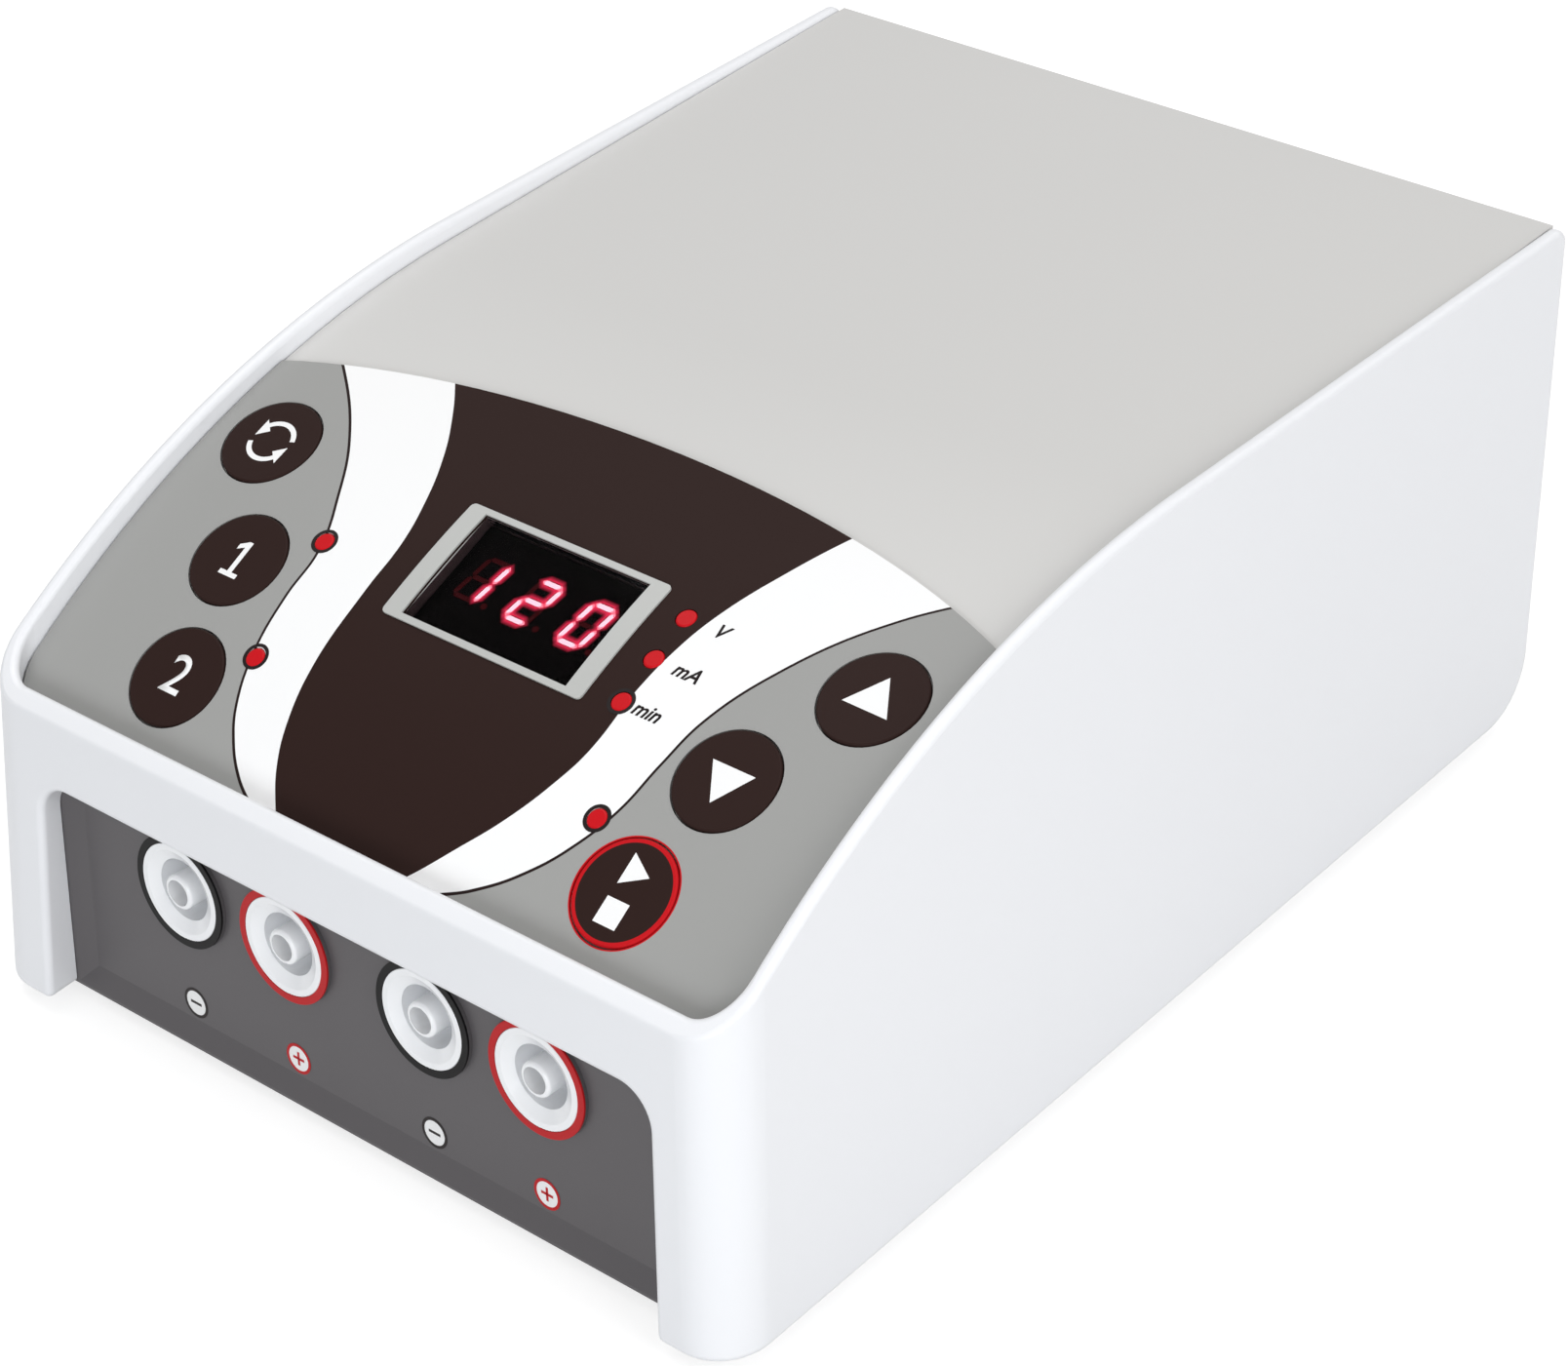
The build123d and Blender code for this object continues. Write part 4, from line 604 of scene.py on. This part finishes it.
def film_print(slot):
    """Print in five colours under a satin film."""
    tree, shader = start_material(slot)
    place = add_node(tree, "ShaderNodeTexCoord").outputs["Object"]
    axes = add_node(tree, "ShaderNodeSeparateXYZ", {"Vector": place})
    across = calc(tree, "DIVIDE", axes.outputs["X"], MM)
    wide = calc(tree, "ABSOLUTE", across)
    right = calc(tree, "GREATER_THAN", across, 0.0)
    depth = calc(tree, "SUBTRACT", calc(tree, "DIVIDE", axes.outputs["Y"], MM), SHELL_FOOT)
    outer = either_side(tree, right, depth, WHITE_LEFT, WHITE_RIGHT)
    inner = either_side(tree, right, depth, BROWN_LEFT, BROWN_RIGHT)
    further = either_side(tree, right, calc(tree, "ADD", depth, SLOPE_STEP), WHITE_LEFT, WHITE_RIGHT)
    slope = calc(tree, "DIVIDE", calc(tree, "SUBTRACT", further, outer), SLOPE_STEP)
    lean = calc(tree, "SQRT", calc(tree, "MULTIPLY_ADD", slope, slope, 1.0))
    beyond = calc(tree, "DIVIDE", calc(tree, "SUBTRACT", wide, outer), lean)
    grey = step_up(tree, beyond, -SOFT_EDGE, SOFT_EDGE)
    brown = step_up(tree, calc(tree, "SUBTRACT", wide, inner), SOFT_EDGE, -SOFT_EDGE)
    half_line = OUTLINE_WIDTH / 2
    line = step_up(tree, calc(tree, "ABSOLUTE", beyond), half_line + SOFT_EDGE, half_line - SOFT_EDGE)
    ring = step_up(tree, from_start_key(tree, place), RING_ON_FILM + SOFT_EDGE, RING_ON_FILM - SOFT_EDGE)
    tint = mix_colours(tree, grey, FILM_WHITE, FILM_GREY)
    for mask, print_colour in ((brown, FILM_BROWN), (line, OUTLINE_BROWN), (ring, RING_RED)):
        tint = mix_colours(tree, mask, tint, print_colour)
    surface = add_grain(tree, SATIN["grain"], SATIN["roughness"], rough_drift=0.10, tone_drift=0.015)
    tree.links.new(toned(tree, tint, surface.outputs["Tone"]), shader.inputs["Base Color"])
    tree.links.new(surface.outputs["Roughness"], shader.inputs["Roughness"])
    bump(tree, shader, surface.outputs["Height"], SATIN["depth"] * MM)
    shader.inputs["Specular IOR Level"].default_value = SATIN["shine"]


film_print("film_print")

# %% [markdown]
# ## Inks
# The marks on the keys and the panel are printed. An ink lies on the surface as a layer of
# a few hundredths of a millimetre, slightly uneven, so each colour gets a faint grain.

# %% Ink materials
INKS = {"ink_white": (250, 250, 250), "ink_black": (30, 22, 22), "ink_red": (190, 24, 30)}

for ink, shade in INKS.items():
    plastic(ink, colour(*shade), 0.45, grain=5000.0, depth=0.002, worn=0.0, shine=0.2)
print("inks:", sorted(INKS))

# %% [markdown]
# ## Making a mark
# A mark starts as a filled circle with as many corners as its outline needs. The corners
# are then moved to their places, the face is extruded by the thickness of the ink, and the
# whole is turned onto its surface. A ring starts as a round face that is inset, and loses
# its middle. Letters and digits start as a text object, which is turned into a mesh.

# %% Mark helpers
INK = 0.03
RING_CORNERS = 64


def select_only(*pieces):
    """Select these pieces, or none, and nothing else; the last one is active."""
    bpy.ops.object.select_all(action="DESELECT")
    for piece in pieces:
        piece.select_set(True)
        bpy.context.view_layer.objects.active = piece


def flat_shape(name, outline):
    """Filled outline from corners in millimetres, counter-clockwise."""
    select_only()
    bpy.ops.mesh.primitive_circle_add(vertices=len(outline), radius=MM, fill_type="NGON")
    piece = bpy.context.object
    piece.name = name
    for corner, (x, y) in zip(piece.data.vertices, outline):
        corner.co = (x * MM, y * MM, 0.0)
    return piece


def flat_ring(name, radius, width):
    """Flat ring, made by insetting a round face and deleting its middle."""
    select_only()
    bpy.ops.mesh.primitive_circle_add(vertices=RING_CORNERS, radius=radius * MM, fill_type="NGON")
    piece = bpy.context.object
    piece.name = name
    bpy.ops.object.mode_set(mode="EDIT")
    bpy.ops.mesh.select_all(action="SELECT")
    bpy.ops.mesh.inset(thickness=width * MM)
    bpy.ops.mesh.delete(type="FACE")
    bpy.ops.object.mode_set(mode="OBJECT")
    return piece


def flat_text(name, words, height, slant=0.0, bold=0.0):
    """Letters or digits as a flat mesh, centred on the origin; bold widens the strokes."""
    select_only()
    bpy.ops.object.text_add()
    piece = bpy.context.object
    piece.name = name
    piece.data.body = words
    piece.data.size = height * MM
    piece.data.shear = slant
    piece.data.offset = bold * MM
    piece.data.align_x = "CENTER"
    piece.data.align_y = "CENTER"
    piece.data.resolution_u = 6
    bpy.ops.object.convert(target="MESH")
    return bpy.context.object


def joined(name, pieces):
    """Several flat marks as one piece."""
    select_only(*pieces)
    bpy.ops.object.join()
    piece = bpy.context.object
    piece.name = name
    return piece


def lay_mark(piece, turned, body, ink):
    """Thicken a flat mark, turn it onto its surface, and hang it on a body."""
    select_only(piece)
    bpy.ops.object.mode_set(mode="EDIT")
    bpy.ops.mesh.select_all(action="SELECT")
    bpy.ops.mesh.extrude_region_move(TRANSFORM_OT_translate={"value": (0.0, 0.0, INK * MM)})
    bpy.ops.mesh.select_all(action="SELECT")
    bpy.ops.mesh.normals_make_consistent(inside=False)
    bpy.ops.object.mode_set(mode="OBJECT")
    piece.matrix_world = turned
    bpy.ops.object.transform_apply(location=True, rotation=True, scale=True)
    piece.data.materials.clear()
    piece.data.materials.append(materials[ink])
    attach(piece, body)


print("ink is", INK, "mm thick")

# %% [markdown]
# ## Marks on the keys
# Two keys on the right carry triangles that point up and down. The rest get plain
# signs: the two programmed steps their numbers, the mode key two arrows that chase each
# other, and the start key a play sign over a stop sign.

# %% Triangles and numbers
UP_SIGN = [(-3.7, -2.0), (3.9, -2.1), (0.0, 3.7)]
DOWN_SIGN = [(0.0, -3.7), (3.6, 1.9), (-3.7, 1.9)]
ONE_FOOT = [(-1.6, -3.0), (1.8, -3.0), (1.8, -2.25), (0.55, -2.25)]
ONE_TOP = [(0.55, 3.0), (-0.1, 3.0), (-1.5, 2.15), (-1.5, 1.3), (-0.3, 1.95), (-0.3, -2.25), (-1.6, -2.25)]
NUMBER_HEIGHT = 8.4


def mark_key(key, mark):
    """Lay a white mark on the middle of a key's top."""
    mark.name = "mark_" + key
    lay_mark(mark, top_of_key("key_" + key), "key_" + key, "ink_white")
    print(mark.name, "has", len(mark.data.polygons), "faces")


mark_key("up", flat_shape("up", UP_SIGN))
mark_key("down", flat_shape("down", DOWN_SIGN))
mark_key("step_1", flat_shape("one", ONE_FOOT + ONE_TOP))
mark_key("step_2", flat_text("two", "2", NUMBER_HEIGHT, bold=0.05))

# %% Start and mode signs
PLAY_SIGN = [(-1.7, 0.7), (2.3, 3.0), (-1.7, 5.3)]
STOP_SIGN = [(-1.9, -5.0), (1.9, -5.0), (1.9, -1.2), (-1.9, -1.2)]
ARROW_STARTS = (20, 200)
ARROW_SWEEP = 118


def on_circle(radius, angle):
    """Point at an angle on a circle round the origin."""
    return (radius * math.cos(angle), radius * math.sin(angle))


def arc_arrow(start, end, radius=3.4, width=0.8, head=1.25, steps=14):
    """Outline of a bent arrow that runs counter-clockwise between two angles in degrees."""
    angles = [math.radians(start + (end - start) * step / steps) for step in range(steps + 1)]
    outer = [on_circle(radius + width / 2, angle) for angle in angles]
    inner = [on_circle(radius - width / 2, angle) for angle in angles]
    last = angles[-1]
    tip = on_circle(radius, last + 2 * head / radius)
    return outer + [on_circle(radius + head, last), tip, on_circle(radius - head, last)] + inner[::-1]


mark_key("start", joined("play_stop", [flat_shape("play", PLAY_SIGN), flat_shape("stop", STOP_SIGN)]))
arrows = [flat_shape("arrow", arc_arrow(start, start + ARROW_SWEEP)) for start in ARROW_STARTS]
mark_key("mode", joined("arrows", arrows))

# %% [markdown]
# ## Marks on the film and the panel
# Three lights show what the display counts, and a short unit stands beside each: volts,
# milliamps and minutes. A thin dark line runs round the lights that sit on the pale print,
# a little below the top of the light, and takes its slope from the film beside it. Below the
# sockets, small discs tell the poles apart. Each mark is laid where a line through its place
# meets the surface, so it needs no measuring of the surface itself.

# %% Units beside the lights
LINE_START = 0.2
UNIT_HEIGHT = 3.1
UNITS = {"volts": ("V", 29.9, 55.3), "milliamps": ("mA", 30.1, 48.2), "minutes": ("min", 28.9, 41.4)}


def seat(node, point, towards, right=(1, 0, 0)):
    """Matrix where a line from a point meets a piece."""
    hit, place, normal, _ = nodes[node].ray_cast(Vector(point), Vector(towards))
    print(node, "met" if hit else "missed", "at", [round(value / MM, 2) for value in place])
    return face_turn(place, normal, right)


def film_seat(across, depth):
    """Matrix on the film at millimetres across and behind the shell's foot."""
    return seat("membrane_film", (across * MM, (depth + SHELL_FOOT) * MM, LINE_START), (0, 0, -1))


for light, (words, across, depth) in UNITS.items():
    label = flat_text("unit_" + light, words, UNIT_HEIGHT, slant=0.25, bold=0.06)
    lay_mark(label, film_seat(across, depth), "housing", "ink_black")

# %% Lines round the lights
LINED_LIGHTS = ("step_1", "step_2", "running", "minutes")
LIGHT_LINE = {"radius": 2.05, "width": 0.53}
LINE_DROP = 0.1
BESIDE_LIGHT = 2.6

for light in LINED_LIGHTS:
    light_top = max((corner.co for corner in nodes["led_" + light].data.vertices), key=lambda place: place.z)
    beside = film_seat(light_top.x / MM - BESIDE_LIGHT, light_top.y / MM - SHELL_FOOT)
    top = top_face("led_" + light, beside.col[2].to_3d())
    ring = flat_ring("line_" + light, **LIGHT_LINE)
    lay_mark(ring, top @ Matrix.Translation((0.0, 0.0, -LINE_DROP * MM)), "housing", "ink_black")

# %% Poles below the sockets
POLES = [(-34.52, "minus"), (-13.38, "plus"), (13.38, "minus"), (34.52, "plus")]
POLE_INK = {"minus": "ink_black", "plus": "ink_red"}
POLE_RISE = 9.17
POLE_DISC = {"radius": 2.2, "width": 2.15}
POLE_RIM = {"radius": 2.4, "width": 0.46}
STROKE_LONG = 1.1
STROKE_WIDE = 0.21


def oblong(half_wide, half_high):
    """Corners of an oblong round the origin, counter-clockwise."""
    below = [(-half_wide, -half_high), (half_wide, -half_high)]
    return below + [(-x, -y) for x, y in below]


for number, (across, sign) in enumerate(POLES, 1):
    turned = seat("socket_panel", (across * MM, -LINE_START, POLE_RISE * MM), (0, 1, 0))
    lay_mark(flat_ring(f"pole_disc_{number}", **POLE_DISC), turned, "housing", "ink_white")
    strokes = [flat_ring("rim", **POLE_RIM), flat_shape("bar", oblong(STROKE_LONG, STROKE_WIDE))]
    if sign == "plus":
        strokes.append(flat_shape("upright", oblong(STROKE_WIDE, STROKE_LONG)))
    lifted = turned @ Matrix.Translation((0.0, 0.0, INK * MM))
    lay_mark(joined(f"pole_{sign}_{number}", strokes), lifted, "housing", POLE_INK[sign])
print("poles laid:", len(POLES))

# %% [markdown]
# ## Marks on the mains switch
# The rocker carries the usual line and circle for on and off. Its faces are hollow, so the
# marks are laid where a line from behind meets them, and follow the slope there.

# %% Rocker marks
MARK_RISE = 4.6
MARK_HALF = 1.3
low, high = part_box("switch_rocker")
middle = (low + high) / 2
for shape, rise in (
    (flat_shape("mark_on", oblong(half_wide=0.25, half_high=MARK_HALF)), MARK_RISE),
    (flat_ring("mark_off", radius=MARK_HALF, width=0.45), -MARK_RISE),
):
    start = (middle.x, LINE_START, middle.z + rise * MM)
    lay_mark(shape, seat("switch_rocker", start, (0, -1, 0), right=(-1, 0, 0)), "switch_rocker", "ink_white")

# %% [markdown]
# ## The glow round the lit bars
# A lit bar spills light into the face round it, and the eye and the camera see a red halo.
# Each halo is a flat sheet in the shape of its bar, a little larger. It is inset a few
# times, and each ring of corners gets a value, from 0 at the rim to 1 over the bar. The
# material turns that value into opacity and light. Each sheet lies a hair above the one
# before, so that no two share a plane. The bars follow the display's own measures: seven of
# them in each digit, leaning by ten degrees.

# %% Shape of the halos
DIGIT_RISE = 7.0
DIGIT_SPAN = 3.85
DIGIT_PITCH = 9.8
DIGIT_SHIFT = 0.85
DIGIT_LEAN = math.tan(math.radians(10.0))
BAR_HALF = 0.35
HALO_REACH = 1.0
HALO_RINGS = 5
HALO_STEP = 0.002
LEVEL_BARS = {"a": (0, 1), "g": (0, 0), "d": (0, -1)}
UPRIGHT_BARS = {"f": (-1, 0.5), "b": (1, 0.5), "e": (-1, -0.5), "c": (1, -0.5)}
LIT = ["bc", "abged", "abcdef"]


def halo(digit, bar):
    """Flat halo of one bar, on the display's face, in rings that fade outwards."""
    upright = bar in UPRIGHT_BARS
    side, level = (UPRIGHT_BARS if upright else LEVEL_BARS)[bar]
    length = (DIGIT_RISE / 4 if upright else DIGIT_SPAN / 2) + HALO_REACH - BAR_HALF / 2
    half = BAR_HALF + HALO_REACH
    outline = [(-length, 0), (half - length, -half), (length - half, -half)]
    outline += [(-x, -y) for x, y in outline]
    if upright:
        outline = [(-y, x) for x, y in outline]
    piece = flat_shape(f"halo_{digit}_{bar}", outline)
    bpy.ops.object.mode_set(mode="EDIT")
    bpy.ops.mesh.select_all(action="SELECT")
    for _ in range(HALO_RINGS):
        bpy.ops.mesh.inset(thickness=HALO_REACH / HALO_RINGS * MM)
    bpy.ops.object.mode_set(mode="OBJECT")
    fade = piece.data.attributes.new("halo", "FLOAT", "POINT")
    for corner, value in zip(piece.data.vertices, fade.data):
        value.value = (corner.index // len(outline)) / HALO_RINGS
        x = corner.co.x / MM + side * DIGIT_SPAN / 2
        y = corner.co.y / MM + level * DIGIT_RISE / 2
        corner.co.x = (x + y * DIGIT_LEAN + (digit - 1) * DIGIT_PITCH) * MM
        corner.co.y = (y + DIGIT_SHIFT) * MM
    return piece


halos = [halo(digit, bar) for digit, names in enumerate(LIT) for bar in names]
for order, piece in enumerate(halos):
    for corner in piece.data.vertices:
        corner.co.z += order * HALO_STEP * MM
glow = joined("digit_glow", halos)
print("halos:", len(halos), "with", len(glow.data.polygons), "faces")

# %% Place and light the halos
DISPLAY_DEPTH = 48.95
HALO_LIFT = 0.02
GLOW_LUMPS = 900.0
GLOW_UNEVEN = 0.2
GLOW_FADE = 2.0
GLOW_OPACITY = 0.75
GLOW_STRENGTH = 4.5

window = seat("display_filter", (0, (DISPLAY_DEPTH + SHELL_FOOT) * MM, LINE_START), (0, 0, -1))
normal = window.col[2].to_3d()
level = max(corner.co.dot(normal) for corner in nodes["digit_bars_lit"].data.vertices)
rise = level + HALO_LIFT * MM - window.translation.dot(normal)
centre = window.translation + normal * rise
select_only(glow)
glow.matrix_world = face_turn(centre, normal)
bpy.ops.object.transform_apply(location=True, rotation=True, scale=True)

tree, shader = start_material("bar_glow")
fade = add_node(tree, "ShaderNodeAttribute", attribute_name="halo").outputs["Fac"]
lumps = object_noise(tree, GLOW_LUMPS, detail=2.0)
uneven = calc(tree, "MULTIPLY_ADD", lumps, GLOW_UNEVEN, 1.0 - GLOW_UNEVEN / 2)
soft = calc(tree, "MULTIPLY", calc(tree, "POWER", fade, GLOW_FADE), uneven)
feed(tree, shader.inputs["Alpha"], calc(tree, "MULTIPLY", soft, GLOW_OPACITY))
shader.inputs["Base Color"].default_value = (0.0, 0.0, 0.0, 1.0)
shader.inputs["Specular IOR Level"].default_value = 0.0
shader.inputs["Emission Color"].default_value = colour(255, 60, 100)
shader.inputs["Emission Strength"].default_value = GLOW_STRENGTH
glow.data.materials.clear()
glow.data.materials.append(materials["bar_glow"])
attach(glow, "housing")
print("glow lies", round(-rise / MM, 2), "mm under the filter's face")

# %% Give every piece its finish
slot_of_node = {part["node"]: part["material_slot"] for part in frame["record"]["subparts"]}
for name, piece in nodes.items():
    piece.data.materials.clear()
    piece.data.materials.append(materials[slot_of_node[name]])
print("pieces dressed:", len(slot_of_node), "with", len(materials), "materials")

# %% End
print("end of the scene")
